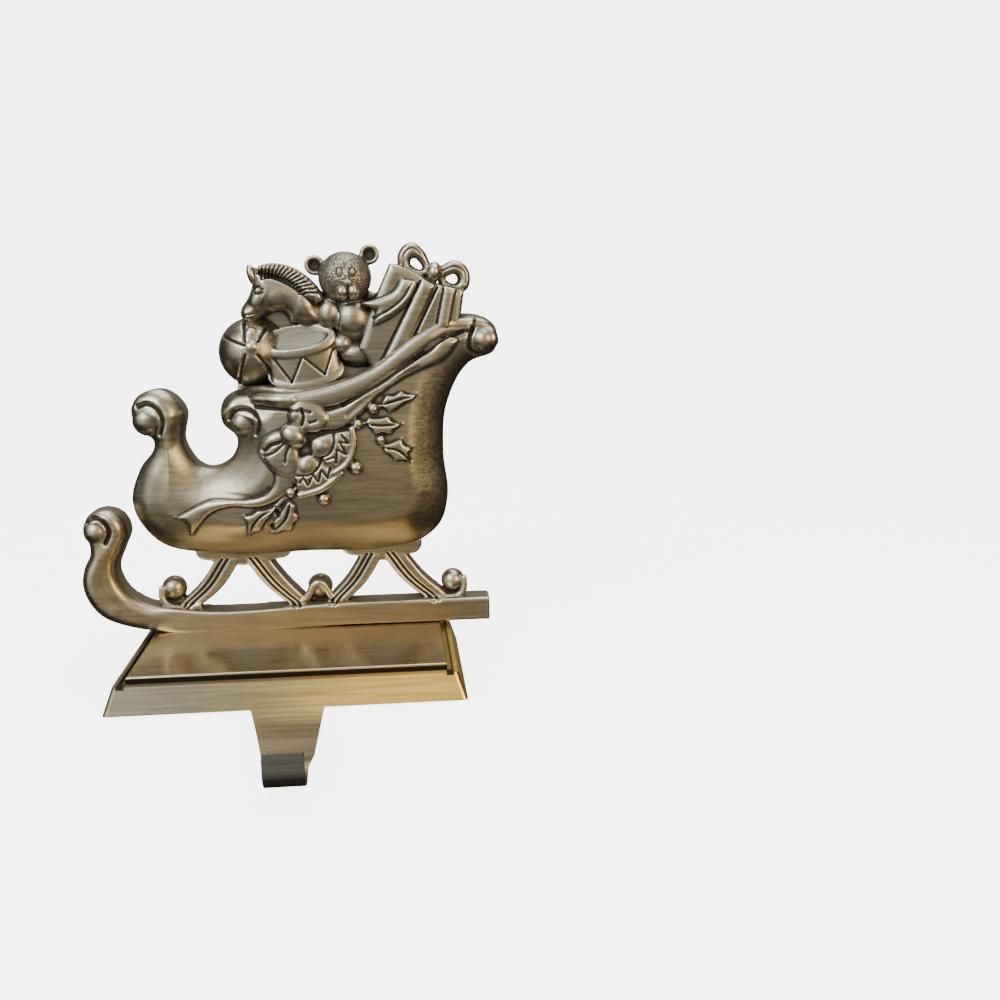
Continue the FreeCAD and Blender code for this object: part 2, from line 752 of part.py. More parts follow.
def gift_tail():
    """The swallow-tailed end of the ribbon, folded over the gift's face."""
    outline = cornered_outline([
        [(44.6, 146.6)],
        [(50.8, 145.4), (45.6, 137.0), (33.4, 129.8)],
        [(34.8, 136.0)],
        [(28.8, 138.8), (38.0, 141.0)]])
    return slab(stepped(outline), gift_depth + gift_tail_rise)


def gift_bow():
    left = bevel(slab(stepped(smooth_outline([
        (55.6, 149.4), (46.6, 149.2), (43.7, 155.6), (48.6, 161.1), (54.2, 156.2)])),
        gift_bow_depth), gift_bow_bevel, gift_bow_depth / 2)
    left = left.cut(slab(stepped(smooth_outline([
        (52.8, 151.0), (48.4, 152.8), (50.4, 154.9)])), gift_bow_depth + 2, -1))
    right = bevel(slab(stepped(smooth_outline([
        (58.6, 150.6), (65.4, 154.2), (71.2, 147.6), (67.4, 142.0), (59.4, 145.8)])),
        gift_bow_depth), gift_bow_bevel, gift_bow_depth / 2)
    right = right.cut(slab(stepped(smooth_outline([
        (61.8, 147.3), (65.6, 148.8), (65.7, 145.5)])), gift_bow_depth + 2, -1))
    knot = stud(57.4, 149.8, 3.5, gift_bow_depth + 2.0, toy_back)
    return [left, right, knot]


def backing():
    """The plain web that joins the toys behind, where one hides another."""
    outline = cornered_outline([
        [(-20.0, 104.0)],
        [(-18.0, 126.0)],
        [(-8.0, 133.0)],
        [(4.0, 146.0)],
        [(14.0, 142.0)],
        [(24.0, 146.0)],
        [(36.0, 142.0)],
        [(56.0, 142.0)],
        [(62.0, 128.0)],
        [(30.0, 106.0)]])
    return slab(outline, backing_depth)


def join(pieces):
    shape = pieces[0]
    for piece in pieces[1:]:
        shape = shape.fuse(piece)
    return shape


def sleigh_figure():
    underframe = join(runner() + legs() + brackets() + feet())
    sleigh = join(body() + [rim()] + ribbons() + bow() + bells() + berries() + leaves())
    toys = join([backing()] + toy_ball() + [drum()] + horse() + bear() + gift())
    shape = sleigh.fuse(underframe)
    shape = shape.fuse(toys)
    shape.translate(V(0, figure_back, seat_height - runner_foot))
    return shape


def write(name, shape):
    shape.translate(V(0, -base_depth / 2, pad_proud))
    shape.exportStep(os.path.join("parts", name + ".step"))


os.makedirs("parts", exist_ok=True)
write("hook_base", hook_base())
write("weight_block", weight_block())
write("base_pad", base_pad())
write("fixing_screws", Part.makeCompound([fixing_screw(x) for x in screw_places()]))
write("sleigh_figure", sleigh_figure())
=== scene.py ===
"""Dressed model of a cast mantel stocking holder: hook base, sleigh figure and their antiqued metal."""

import logging
import math
from dataclasses import dataclass, field
from enum import Enum
from typing import Callable, Optional, Sequence

import bmesh
import bpy
import numpy as np
from bpy.types import Material, Mesh, Node, NodeSocket, NodeTree, Object
from mathutils import Matrix, Vector
from mathutils.geometry import interpolate_bezier

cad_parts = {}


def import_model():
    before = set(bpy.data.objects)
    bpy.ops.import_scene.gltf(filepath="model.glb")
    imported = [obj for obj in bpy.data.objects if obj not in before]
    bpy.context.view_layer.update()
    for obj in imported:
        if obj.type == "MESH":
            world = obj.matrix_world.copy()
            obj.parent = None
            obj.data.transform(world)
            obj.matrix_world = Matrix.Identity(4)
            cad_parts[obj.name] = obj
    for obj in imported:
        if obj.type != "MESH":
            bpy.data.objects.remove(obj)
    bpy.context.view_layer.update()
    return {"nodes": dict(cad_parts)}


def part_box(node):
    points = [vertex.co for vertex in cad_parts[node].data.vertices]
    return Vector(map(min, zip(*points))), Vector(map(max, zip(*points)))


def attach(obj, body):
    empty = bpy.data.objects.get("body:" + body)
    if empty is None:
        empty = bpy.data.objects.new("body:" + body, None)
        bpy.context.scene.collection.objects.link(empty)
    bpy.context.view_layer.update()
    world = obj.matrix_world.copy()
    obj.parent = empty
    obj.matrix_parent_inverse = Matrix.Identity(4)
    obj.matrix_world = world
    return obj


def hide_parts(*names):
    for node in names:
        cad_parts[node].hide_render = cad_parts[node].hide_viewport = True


LOG = logging.getLogger("stocking_holder")
MM = 0.001
RUNNER_BOTTOM = 11.3
Rows = np.ndarray
Pair = tuple[float, float]
Colour = tuple[float, ...]
Line = Sequence[tuple[float, ...]]
Ground = Callable[[Rows], Rows]


# Curves and fields in the picture plane of the figure

def sampled(points: Line, closed: bool = False, steps: int = 7) -> Rows:
    """Samples a smooth line through points; a point with a third value is a sharp corner.

    Args:
        points: Places (x, z) in millimetres.
        closed: Whether the line returns to its start.
        steps: Samples on each stretch.

    Returns:
        The samples, one row each.
    """
    knots = [Vector(point[:2]).to_3d() for point in points]
    sharp = [len(point) > 2 for point in points]
    count = len(knots)
    rows: list[tuple[float, float]] = []
    for index in range(count if closed else count - 1):
        after = (index + 1) % count
        here, there = knots[index], knots[after]
        reach = (there - here).length / 3
        ends = []
        for place, back, step in ((index, here, 1), (after, there, -1)):
            before, follow = knots[place - 1], knots[(place + 1) % count]
            if not closed and place in (0, count - 1):
                way = there - here
            else:
                lead, lag = (back - before), (follow - back)
                way = lead.normalized() * lag.length + lag.normalized() * lead.length
            if sharp[place]:
                way = there - here
            ends.append(back + way.normalized() * reach * step)
        part = interpolate_bezier(here, ends[0], ends[1], there, steps + 1)
        rows += [(p.x, p.y) for p in part[:-1]]
    if not closed:
        rows.append(tuple(knots[-1][:2]))
    return np.array(rows)


def distance_to(places: Rows, line: Rows, closed: bool) -> Rows:
    """Gives each place's distance from a line of straight steps.

    Args:
        places: Rows of (x, z).
        line: The line's samples.
        closed: Whether its last sample joins the first.

    Returns:
        One distance for each place.
    """
    starts = line if closed else line[:-1]
    ends = np.roll(line, -1, axis=0) if closed else line[1:]
    best = np.full(len(places), 1e9)
    for start, end in zip(starts, ends):
        way = end - start
        size = float(way @ way) or 1e-12
        share = np.clip(((places - start) @ way) / size, 0, 1)
        gap = places - (start + share[:, None] * way)
        best = np.minimum(best, (gap ** 2).sum(axis=1))
    return np.sqrt(best)


def quarter(value: Rows) -> Rows:
    """Rises like a quarter circle from 0 to 1."""
    return np.sqrt(1 - (1 - np.clip(value, 0, 1)) ** 2)


def ease(value: Rows) -> Rows:
    """Rises smoothly from 0 to 1."""
    share = np.clip(value, 0, 1)
    return share * share * (3 - 2 * share)


# Mesh helpers

def vertex_rows(mesh: Mesh, name: str = "co") -> Rows:
    """Reads a three-part value of every vertex."""
    rows = np.empty(len(mesh.vertices) * 3, np.float32)
    mesh.vertices.foreach_get(name, rows)
    return rows.reshape(-1, 3).astype(float)


def set_rows(mesh: Mesh, rows: Rows) -> None:
    """Writes every vertex's place."""
    mesh.vertices.foreach_set("co", rows.astype(np.float32).ravel())
    mesh.update()


def linked(name: str, data: object) -> Object:
    """Puts data into the scene as an object and returns it."""
    thing = bpy.data.objects.new(name, data)
    bpy.context.scene.collection.objects.link(thing)
    return thing


def as_mesh(shape: bmesh.types.BMesh, name: str) -> Mesh:
    """Turns a gathering mesh into a mesh and frees it."""
    mesh = bpy.data.meshes.new(name)
    shape.to_mesh(mesh)
    shape.free()
    return mesh


def modified(mesh: Mesh, kind: str, **settings: object) -> Mesh:
    """Gives a copy of a mesh with one modifier applied.

    Args:
        mesh: The mesh, which is removed.
        kind: The modifier's type.
        **settings: Its values.

    Returns:
        The new mesh.
    """
    piece = linked("working_copy", mesh)
    modifier = piece.modifiers.new("step", kind)
    for key, value in settings.items():
        setattr(modifier, key, value)
    graph = bpy.context.evaluated_depsgraph_get()
    result = bpy.data.meshes.new_from_object(piece.evaluated_get(graph))
    bpy.data.objects.remove(piece)
    bpy.data.meshes.remove(mesh)
    return result


class Neighbours:
    """Averages over the edges of a mesh."""

    def __init__(self, mesh: Mesh) -> None:
        """Reads the mesh's edges."""
        pairs = np.empty(len(mesh.edges) * 2, np.int64)
        mesh.edges.foreach_get("vertices", pairs)
        pairs = pairs.reshape(-1, 2)
        self.source = np.concatenate([pairs[:, 0], pairs[:, 1]])
        self.target = np.concatenate([pairs[:, 1], pairs[:, 0]])
        self.count = len(mesh.vertices)
        self.degree = np.maximum(np.bincount(self.target, minlength=self.count), 1)

    def mean(self, values: Rows) -> Rows:
        """Gives the mean of each vertex's neighbours, column by column."""
        columns = [np.bincount(self.target, values[self.source, axis], self.count)
                   for axis in range(values.shape[1])]
        return np.stack(columns, axis=1) / self.degree[:, None]

    def smooth(self, values: Rows, rounds: int, share: float = 0.9) -> Rows:
        """Pulls each row towards its neighbours' mean, several times over."""
        for _ in range(rounds):
            values = values + share * (self.mean(values) - values)
        return values


@dataclass(frozen=True)
class Groove:
    """A line cut into the casting, or raised on it where its depth is negative."""

    line: Line
    width: float
    depth: float
    closed: bool = False
    taper: bool = False


@dataclass
class Casting:
    """Raised forms that are melted into one cast surface.

    The work frame is x across, y up and z forwards from the figure's flat back, in millimetres.
    """

    ROUND_WALL = 5.6
    ROUND_WIDTH = 4.2
    PLATE = 3.0
    PLATE_GRAIN = 1.15
    FACING_FROM = 0.05
    FACING_RISE = 0.3
    # Hollowness at three scales: the fine and middle ones mark patina in crevices, the broad one marks
    # painted shade between parts and behind ribbons.
    HOLLOWS = (("fine", 3, 0.10), ("middle", 16, 0.45), ("broad", 70, 1.3))
    HOLLOW_LIMIT = 2

    name: str
    grain: float = 0.36
    soften: int = 2
    limit: int = 190000
    grooves: list[Groove] = field(default_factory=list)

    def __post_init__(self) -> None:
        """Starts the gathering mesh."""
        self.forms = bmesh.new()

    def take(self, mesh: Mesh) -> None:
        """Adds a finished form and removes its mesh."""
        self.forms.from_mesh(mesh)
        bpy.data.meshes.remove(mesh)

    def plate(self, rings: Sequence[Rows], thick: float) -> Mesh:
        """Makes a flat plate from one outline and any holes in it.

        Args:
            rings: Sampled outlines, the outer one first.
            thick: Its thickness.

        Returns:
            The plate as a mesh, its back at zero.
        """
        shape = bmesh.new()
        for ring in rings:
            corners = [shape.verts.new((x, y, 0.0)) for x, y in ring]
            for number, corner in enumerate(corners):
                shape.edges.new((corners[number - 1], corner))
        bmesh.ops.triangle_fill(shape, use_beauty=True, use_dissolve=False, edges=shape.edges[:])
        made = bmesh.ops.extrude_face_region(shape, geom=shape.faces[:])["geom"]
        moved = [item for item in made if isinstance(item, bmesh.types.BMVert)]
        bmesh.ops.translate(shape, vec=(0, 0, thick), verts=moved)
        bmesh.ops.recalc_face_normals(shape, faces=shape.faces[:])
        return as_mesh(shape, "plate")

    def puff(self, rings: Sequence[Line], edge: float, swell: float, width: float,
             start: float = 0.0, ground: Optional[Ground] = None, flow: Optional[Ground] = None) -> None:
        """Adds a pillowed plate: a wall round its outline and a face that swells inwards from it.

        Args:
            rings: The outline, then any holes.
            edge: Height of the wall, above the ground where there is one.
            swell: How much higher the middle is than the wall.
            width: How far in from the outline the face stops rising.
            start: Depth of its back.
            ground: Height of the surface it lies on.
            flow: Share, place by place, of a rounder section with a lower wall.
        """
        lines = [sampled(ring, closed=True) for ring in rings]
        mesh = modified(self.plate(lines, self.PLATE), "REMESH", mode="VOXEL",
                        voxel_size=self.grain * self.PLATE_GRAIN)
        rows = vertex_rows(mesh)
        flat = rows[:, :2]
        inset = np.min([distance_to(flat, line, True) for line in lines], axis=0)
        front = edge + swell * quarter(inset / width)
        if flow is not None:
            share = flow(flat)
            rise = (edge + swell - self.ROUND_WALL) * quarter(inset / self.ROUND_WIDTH)
            front += share * (self.ROUND_WALL + rise - front)
        if ground is not None:
            front += ground(flat)
        share = np.clip(rows[:, 2] / self.PLATE, 0, 1)
        rows[:, 2] = start + share * (front - start)
        set_rows(mesh, rows)
        self.take(mesh)

    def tube(self, points: Sequence[tuple[float, float, float, float]]) -> None:
        """Adds a rounded bar through points of (x, z, depth, radius)."""
        data = bpy.data.curves.new("bar", "CURVE")
        data.dimensions = "3D"
        data.bevel_depth = 1.0
        data.bevel_resolution = 4
        data.resolution_u = 8
        data.use_fill_caps = True
        spline = data.splines.new("NURBS")
        spline.points.add(len(points) - 1)
        for knot, (x, z, depth, radius) in zip(spline.points, points):
            knot.co = (x, z, depth, 1.0)
            knot.radius = radius
        spline.order_u = 3
        spline.use_endpoint_u = True
        bar = bpy.data.objects.new("bar", data)
        self.take(bpy.data.meshes.new_from_object(bar))
        bpy.data.objects.remove(bar)
        bpy.data.curves.remove(data)
        self.ball(points[-1][:3], (points[-1][3],) * 3)

    def ball(self, place: Sequence[float], sizes: Sequence[float], turn: float = 0.0) -> None:
        """Adds an ellipsoid.

        Args:
            place: Its middle: x, z and depth.
            sizes: Its half sizes the same way.
            turn: Turn in the picture plane, in degrees.
        """
        matrix = (Matrix.Translation(place) @ Matrix.Rotation(math.radians(turn), 4, "Z")
                  @ Matrix.Diagonal((*sizes, 1)))
        shape = bmesh.new()
        bmesh.ops.create_uvsphere(shape, u_segments=40, v_segments=24, radius=1.0, matrix=matrix)
        self.take(as_mesh(shape, "ball"))

    def turned(self, profile: Sequence[tuple[float, float]], place: Matrix, segments: int = 72) -> None:
        """Adds a form spun from a profile of (radius, height) about its own upright axis.

        Args:
            profile: From the lowest point on the axis to the highest.
            place: Its place and tilt.
            segments: Steps round the axis.
        """
        shape = bmesh.new()
        chain = [shape.verts.new((radius, 0.0, height)) for radius, height in profile]
        edges = [shape.edges.new(pair) for pair in zip(chain, chain[1:])]
        bmesh.ops.spin(shape, geom=chain + edges, axis=(0, 0, 1), cent=(0, 0, 0), angle=math.tau,
                       steps=segments, use_merge=True)
        bmesh.ops.remove_doubles(shape, verts=shape.verts[:], dist=1e-4)
        bmesh.ops.recalc_face_normals(shape, faces=shape.faces[:])
        bmesh.ops.transform(shape, matrix=place, verts=shape.verts[:])
        self.take(as_mesh(shape, "turned"))

    def cut_grooves(self, mesh: Mesh, links: Neighbours) -> None:
        """Presses every groove into the surface along its normals."""
        rows = vertex_rows(mesh)
        normals = vertex_rows(mesh, "normal")
        push = np.zeros(len(rows))
        facing = np.clip((normals[:, 2] - self.FACING_FROM) / self.FACING_RISE, 0, 1)
        for groove in self.grooves:
            line = sampled(groove.line, groove.closed)
            low, high = line.min(axis=0) - groove.width, line.max(axis=0) + groove.width
            near = np.nonzero(((rows[:, :2] > low) & (rows[:, :2] < high)).all(axis=1))[0]
            if not len(near):
                continue
            gap = distance_to(rows[near, :2], line, groove.closed) / groove.width
            shape = np.where(gap < 1, (1 - gap ** 2) ** 2, 0)
            if groove.taper:
                along = np.linalg.norm(rows[near, :2] - line[0], axis=1) / np.linalg.norm(line[-1] - line[0])
                shape *= np.clip(1.1 - along, 0.15, 1)
            push[near] += shape * groove.depth * facing[near]
        rows -= normals * push[:, None]
        set_rows(mesh, links.smooth(rows, 1, 0.25))

    @staticmethod
    def note(mesh: Mesh, label: str, values: Rows) -> None:
        """Stores one value for each vertex."""
        layer = mesh.attributes.new(label, "FLOAT", "POINT")
        layer.data.foreach_set("value", values.astype(np.float32))

    def finish(self, stand: "Standing") -> Object:
        """Melts the forms together, cuts the grooves and stores how hollow and how turned each spot is.

        Args:
            stand: Where the figure stands.

        Returns:
            The piece, in the row frame.
        """
        mesh = modified(as_mesh(self.forms, self.name), "REMESH", mode="VOXEL", voxel_size=self.grain)
        links = Neighbours(mesh)
        rows = links.smooth(vertex_rows(mesh), self.soften, 0.5)
        rows[:, 2] = np.maximum(rows[:, 2], 0.0)
        set_rows(mesh, rows)
        self.cut_grooves(mesh, links)
        rows, normals = vertex_rows(mesh), vertex_rows(mesh, "normal")
        for label, rounds, scale in self.HOLLOWS:
            sunk = ((links.smooth(rows, rounds) - rows) * normals).sum(axis=1) / scale
            self.note(mesh, label, np.clip(sunk, -self.HOLLOW_LIMIT, self.HOLLOW_LIMIT))
        # How far each spot turns away from the front; the figure's material darkens such walls with painted
        # shade as well as patina.
        self.note(mesh, "turned", np.clip(1 - normals[:, 2], 0, 1))
        triangles = 2 * len(mesh.polygons)
        if triangles > self.limit:
            mesh = modified(mesh, "DECIMATE", ratio=self.limit / triangles)
        mesh.transform(stand.matrix())
        mesh.shade_smooth()
        mesh.name = self.name
        piece = linked(self.name, mesh)
        LOG.info("%s: %d faces", self.name, len(mesh.polygons))
        return piece


@dataclass(frozen=True)
class Standing:
    """Where the flat-backed figure stands in the row frame."""

    back: float
    lift: float

    def matrix(self) -> Matrix:
        """Gives the move from the work frame to the row frame."""
        return (Matrix.Translation((0, self.back, self.lift)) @ Matrix.Rotation(math.radians(90), 4, "X")
                @ Matrix.Scale(MM, 4))


# Finishes

class Slot(Enum):
    """The record's material slots."""

    BASE = "antique_metal_base"
    FIGURE = "antique_metal_figure"
    IRON = "ballast_iron"
    FOAM = "pad_foam"
    SCREW = "screw_steel"


class NodeSheet:
    """A shader tree with short ways to add nodes and links."""

    def __init__(self, tree: NodeTree) -> None:
        """Takes the tree to fill."""
        self.tree = tree

    def shade(self, **values: object) -> None:
        """Sets the shader's inputs, by name, to values or sockets."""
        shader = self.tree.nodes["Principled BSDF"]
        for name, value in values.items():
            self.give(shader, name.replace("_", " ").title(), value)

    def give(self, node: Node, key: object, value: object) -> None:
        """Sets one input of a node to a value, or links a socket to it."""
        if isinstance(value, NodeSocket):
            self.tree.links.new(value, node.inputs[key])
        else:
            node.inputs[key].default_value = value

    def add(self, kind: str, inputs: Optional[dict] = None, **settings: object) -> Node:
        """Adds a node.

        Args:
            kind: Its type, without the common prefix.
            inputs: Values or sockets for its inputs, by name or number.
            **settings: Its properties.

        Returns:
            The node.
        """
        node = self.tree.nodes.new("ShaderNode" + kind)
        for key, value in settings.items():
            setattr(node, key, value)
        for key, value in (inputs or {}).items():
            self.give(node, key, value)
        return node

    def maths(self, operation: str, first: object, second: object = 0.0) -> NodeSocket:
        """Adds a maths step and gives its result."""
        return self.add("Math", {0: first, 1: second}, operation=operation).outputs[0]

    def times(self, first: object, second: object) -> NodeSocket:
        """Multiplies two values."""
        return self.maths("MULTIPLY", first, second)

    def plus(self, first: object, second: object) -> NodeSocket:
        """Adds two values."""
        return self.maths("ADD", first, second)

    def span(self, value: object, low: float, high: float, to_low: float = 0.0,
             to_high: float = 1.0) -> NodeSocket:
        """Maps a value from one range to another, smoothly and clamped."""
        return self.add("MapRange", {"Value": value, 1: low, 2: high, 3: to_low, 4: to_high},
                        interpolation_type="SMOOTHSTEP").outputs[0]

    def blend(self, share: object, first: object, second: object) -> NodeSocket:
        """Mixes two colours."""
        return self.add("Mix", {0: share, 6: first, 7: second}, data_type="RGBA").outputs[2]

    def laid(self, kind: str, first: object, second: object) -> NodeSocket:
        """Lays one colour over another with a blend type."""
        return self.add("Mix", {0: 1.0, 6: first, 7: second}, data_type="RGBA", blend_type=kind).outputs[2]

    def spread(self, noise: object, low: float, high: float) -> NodeSocket:
        """Maps the middle span of a noise to a range."""
        return self.span(noise, 0.3, 0.7, low, high)

    def streaked(self, colour: object, brush: NodeSocket, low: float, high: float) -> NodeSocket:
        """Darkens and lightens a colour along the brush lines."""
        grey = self.spread(brush, low, high)
        return self.laid("MULTIPLY", colour, self.add("CombineColor", {0: grey, 1: grey, 2: grey}).outputs[0])

    def noise(self, place: NodeSocket, scale: float, detail: float = 4.0,
              stretch: Sequence[float] = (1, 1, 1)) -> NodeSocket:
        """Adds noise on a stretched place and gives its value."""
        mapped = self.add("Mapping", {"Vector": place, "Scale": stretch})
        return self.add("TexNoise", {"Vector": mapped.outputs[0], "Scale": scale,
                                     "Detail": detail, "Roughness": 0.6}).outputs[0]


def started(name: str) -> tuple[Material, NodeSheet]:
    """Starts a material and gives it with the sheet of its nodes."""
    material = bpy.data.materials.new(name)
    material.use_nodes = True
    return material, NodeSheet(material.node_tree)


def tarnish_group() -> NodeTree:
    """Makes the shared effect of brushed and clouded metal.

    Returns:
        A group with Clouds, Brush and Height outputs.
    """
    tree = bpy.data.node_groups.new("brushed_tarnish", "ShaderNodeTree")
    face = tree.interface
    face.new_socket("Place", in_out="INPUT", socket_type="NodeSocketVector")
    face.new_socket("Brush Strength", in_out="INPUT", socket_type="NodeSocketFloat")
    for name in ("Clouds", "Brush", "Height"):
        face.new_socket(name, in_out="OUTPUT", socket_type="NodeSocketFloat")
    sheet = NodeSheet(tree)
    source = tree.nodes.new("NodeGroupInput")
    result = tree.nodes.new("NodeGroupOutput")
    place = source.outputs["Place"]
    clouds = sheet.noise(place, 34.0, 5.0, (0.7, 1, 1))
    lines = sheet.noise(place, 900.0, 3.0, (0.035, 1, 1))
    wide = sheet.noise(place, 260.0, 3.0, (0.05, 1, 1))
    grit = sheet.noise(place, 1500.0, 2.0)
    brush = sheet.plus(sheet.times(lines, 0.8), sheet.times(wide, 0.2))
    height = sheet.plus(sheet.times(brush, source.outputs["Brush Strength"]), sheet.times(grit, 0.25))
    for name, value in (("Clouds", clouds), ("Brush", brush), ("Height", height)):
        tree.links.new(value, result.inputs[name])
    return tree


@dataclass(frozen=True)
class FigureMetal:
    """Antiqued plating: rubbed bright where it stands proud, brown-black patina in fine hollows, and painted
    shade in broad hollows between parts and on side walls turned away from the front.
    """

    bright: Colour = (0.60, 0.54, 0.41, 1)
    middle: Colour = (0.258, 0.252, 0.212, 1)
    gold: Colour = (0.50, 0.405, 0.24, 1)
    # Colour of the patina, and of the painted shade in broad hollows and on turned side walls.
    dark: Colour = (0.026, 0.022, 0.017, 1)
    shares: tuple[float, float, float] = (0.35, 0.95, 0.45)
    hollow_range: Pair = (-0.02, 0.95)
    # Share of painted shade and unrubbed patina on walls turned away from the front.
    turned_range: Pair = (0.45, 1.0)
    proud_range: Pair = (0.12, 0.9)
    gold_levels: Pair = (0.10, 0.03)
    roughness: Pair = (0.34, 0.60)
    fur_place: tuple[float, float, float] = (0.0234, 0.0265, 0.1482)
    fur_reach: float = 0.0104
    fur_edge: Pair = (0.96, 1.02)
    tuft_scale: float = 1150.0
    tuft_range: Pair = (0.56, 0.42)
    tuft_height: float = 6.0
    streaks: Pair = (0.91, 1.07)
    bump_depth: float = 0.0002

    def build(self, tarnish: NodeTree) -> Material:
        """Makes the material.

        Args:
            tarnish: The shared brushed and clouded effect.

        Returns:
            The material.
        """
        material, sheet = started(Slot.FIGURE.value)
        place = sheet.add("TexCoord").outputs["Object"]
        effect = sheet.add("Group", {"Place": place, "Brush Strength": 0.8}, node_tree=tarnish)
        clouds, brush, height = (effect.outputs[name] for name in ("Clouds", "Brush", "Height"))
        fine, middle, broad, turned = (sheet.add("Attribute", attribute_name=name).outputs["Fac"]
                                       for name in ("fine", "middle", "broad", "turned"))
        parts = [sheet.times(value, share) for value, share in zip((fine, middle, broad), self.shares)]
        # Sum of patina in crevices and painted shade from the broad scale.
        hollow = sheet.plus(sheet.plus(parts[0], parts[1]), parts[2])
        hollow = sheet.plus(hollow, sheet.times(sheet.maths("SUBTRACT", clouds, 0.5), 0.15))

        away = sheet.add("VectorMath", {0: place, 1: self.fur_place}, operation="DISTANCE").outputs["Value"]
        furry = sheet.span(away, *(self.fur_reach * share for share in self.fur_edge), 1.0, 0.0)
        tufts = sheet.noise(place, self.tuft_scale, 1.0)
        specks = sheet.times(furry, sheet.span(tufts, *self.tuft_range, 0.0, 0.75))
        # Dark where hollow and on walls turned away from the front: patina in crevices, painted shade in
        # broad hollows and on turned walls, and dark specks in the fur.
        patina_and_shade = sheet.maths("MAXIMUM", sheet.span(hollow, *self.hollow_range),
                             sheet.span(turned, *self.turned_range, 0.0, 0.55))
        patina_and_shade = sheet.maths("MAXIMUM", patina_and_shade, specks)
        proud = sheet.span(sheet.times(hollow, -1.0), *self.proud_range)
        worn = sheet.times(proud, sheet.span(brush, 0.25, 0.6, 0.55, 1.0))

        level = sheet.add("SeparateXYZ", {0: place}).outputs[2]
        warm = sheet.times(sheet.span(level, *self.gold_levels, 0.35, 1.0), sheet.spread(clouds, 0.4, 1.0))
        metal = sheet.blend(worn, sheet.blend(warm, self.middle, self.gold), self.bright)
        rough = sheet.plus(sheet.span(patina_and_shade, 0, 1, *self.roughness), sheet.spread(brush, -0.05, 0.06))
        tufts = sheet.times(tufts, sheet.times(furry, self.tuft_height))
        bump = sheet.add("Bump", {"Strength": 0.4, "Distance": self.bump_depth,
                                  "Height": sheet.plus(height, tufts)})
        sheet.shade(
            base_color=sheet.blend(patina_and_shade, sheet.streaked(metal, brush, *self.streaks), self.dark),
            metallic=sheet.span(patina_and_shade, 0, 1, 1.0, 0.55),
            roughness=sheet.maths("SUBTRACT", rough, sheet.times(worn, 0.06)),
            normal=bump.outputs[0])
        return material


@dataclass(frozen=True)
class BaseMetal:
    """Plating of the base: a polished panel, brushed slopes and a dark line round the panel, with a painted
    gold highlight towards the right of the slopes and painted shade on the hook below.
    """

    slope: Colour = (0.29, 0.25, 0.175, 1)
    # Gold painted highlight towards the right of the slopes, standing in for a warm lamp's reflection.
    painted_gold_highlight: Colour = (1.0, 0.72, 0.21, 1)
    panel: Colour = (0.46, 0.36, 0.21, 1)
    dark: Colour = (0.035, 0.027, 0.018, 1)
    # The hook below the base is coloured darker as painted shade, copying the darker reflection on its
    # tongue.
    hook: Colour = (0.16, 0.12, 0.07, 1)
    lip: Colour = (0.34, 0.34, 0.32, 1)
    gold_highlight_across: Pair = (-0.045, 0.055)
    panel_levels: Pair = (0.0108, 0.0112)
    hook_levels: Pair = (-0.006, 0.0005)
    lip_depths: Pair = (-0.0585, -0.0596)
    line_side: float = 0.0574
    line_front: float = 0.0279
    line_ends: Pair = (0.0583, 0.0590)
    line_levels: Pair = (0.0086, 0.0092)
    line_fade: Pair = (0.0009, 0.0022)
    roughness: Pair = (0.32, 0.20)
    streaks: Pair = (0.8, 1.12)
    bump_depth: float = 0.0002

    def build(self, tarnish: NodeTree) -> Material:
        """Makes the material.

        Args:
            tarnish: The shared brushed and clouded effect.

        Returns:
            The material.
        """
        material, sheet = started(Slot.BASE.value)
        place = sheet.add("TexCoord").outputs["Object"]
        x, y, z = sheet.add("SeparateXYZ", {0: place}).outputs
        effect = sheet.add("Group", {"Place": place, "Brush Strength": 1.0}, node_tree=tarnish)
        clouds, brush, height = (effect.outputs[name] for name in ("Clouds", "Brush", "Height"))
        on_panel = sheet.span(z, *self.panel_levels)
        on_hook = sheet.maths("SUBTRACT", 1.0, sheet.span(z, *self.hook_levels))
        on_lip = sheet.span(y, *self.lip_depths)
        across = sheet.plus(x, sheet.times(sheet.maths("SUBTRACT", clouds, 0.5), 0.05))
        # The slopes turn from their own colour to the painted gold highlight from left to right.
        metal = sheet.blend(sheet.span(across, *self.gold_highlight_across), self.slope, self.painted_gold_highlight)
        metal = sheet.blend(on_panel, metal, self.panel)
        # Painted shade: the hook below the base takes its darker colour.
        metal = sheet.blend(on_hook, metal, sheet.blend(on_lip, self.hook, self.lip))

        aside = sheet.maths("ABSOLUTE", x)
        side = sheet.maths("ABSOLUTE", sheet.maths("SUBTRACT", aside, self.line_side))
        front = sheet.maths("ABSOLUTE", sheet.plus(y, self.line_front))
        near = sheet.maths("MINIMUM", side, sheet.plus(front, sheet.span(aside, *self.line_ends)))
        in_levels = sheet.times(sheet.span(z, *self.line_levels), sheet.span(z, *self.panel_levels[::-1]))
        groove = sheet.times(sheet.span(near, *self.line_fade, 1.0, 0.0), in_levels)
        rough = sheet.plus(sheet.span(on_panel, 0, 1, *self.roughness), sheet.spread(brush, -0.04, 0.07))
        bump = sheet.add("Bump", {"Strength": 0.16, "Distance": self.bump_depth, "Height": height})
        sheet.shade(
            base_color=sheet.blend(groove, sheet.streaked(metal, brush, *self.streaks), self.dark),
            metallic=1.0,
            roughness=sheet.plus(rough, sheet.times(groove, 0.3)),
            normal=bump.outputs[0])
        return material


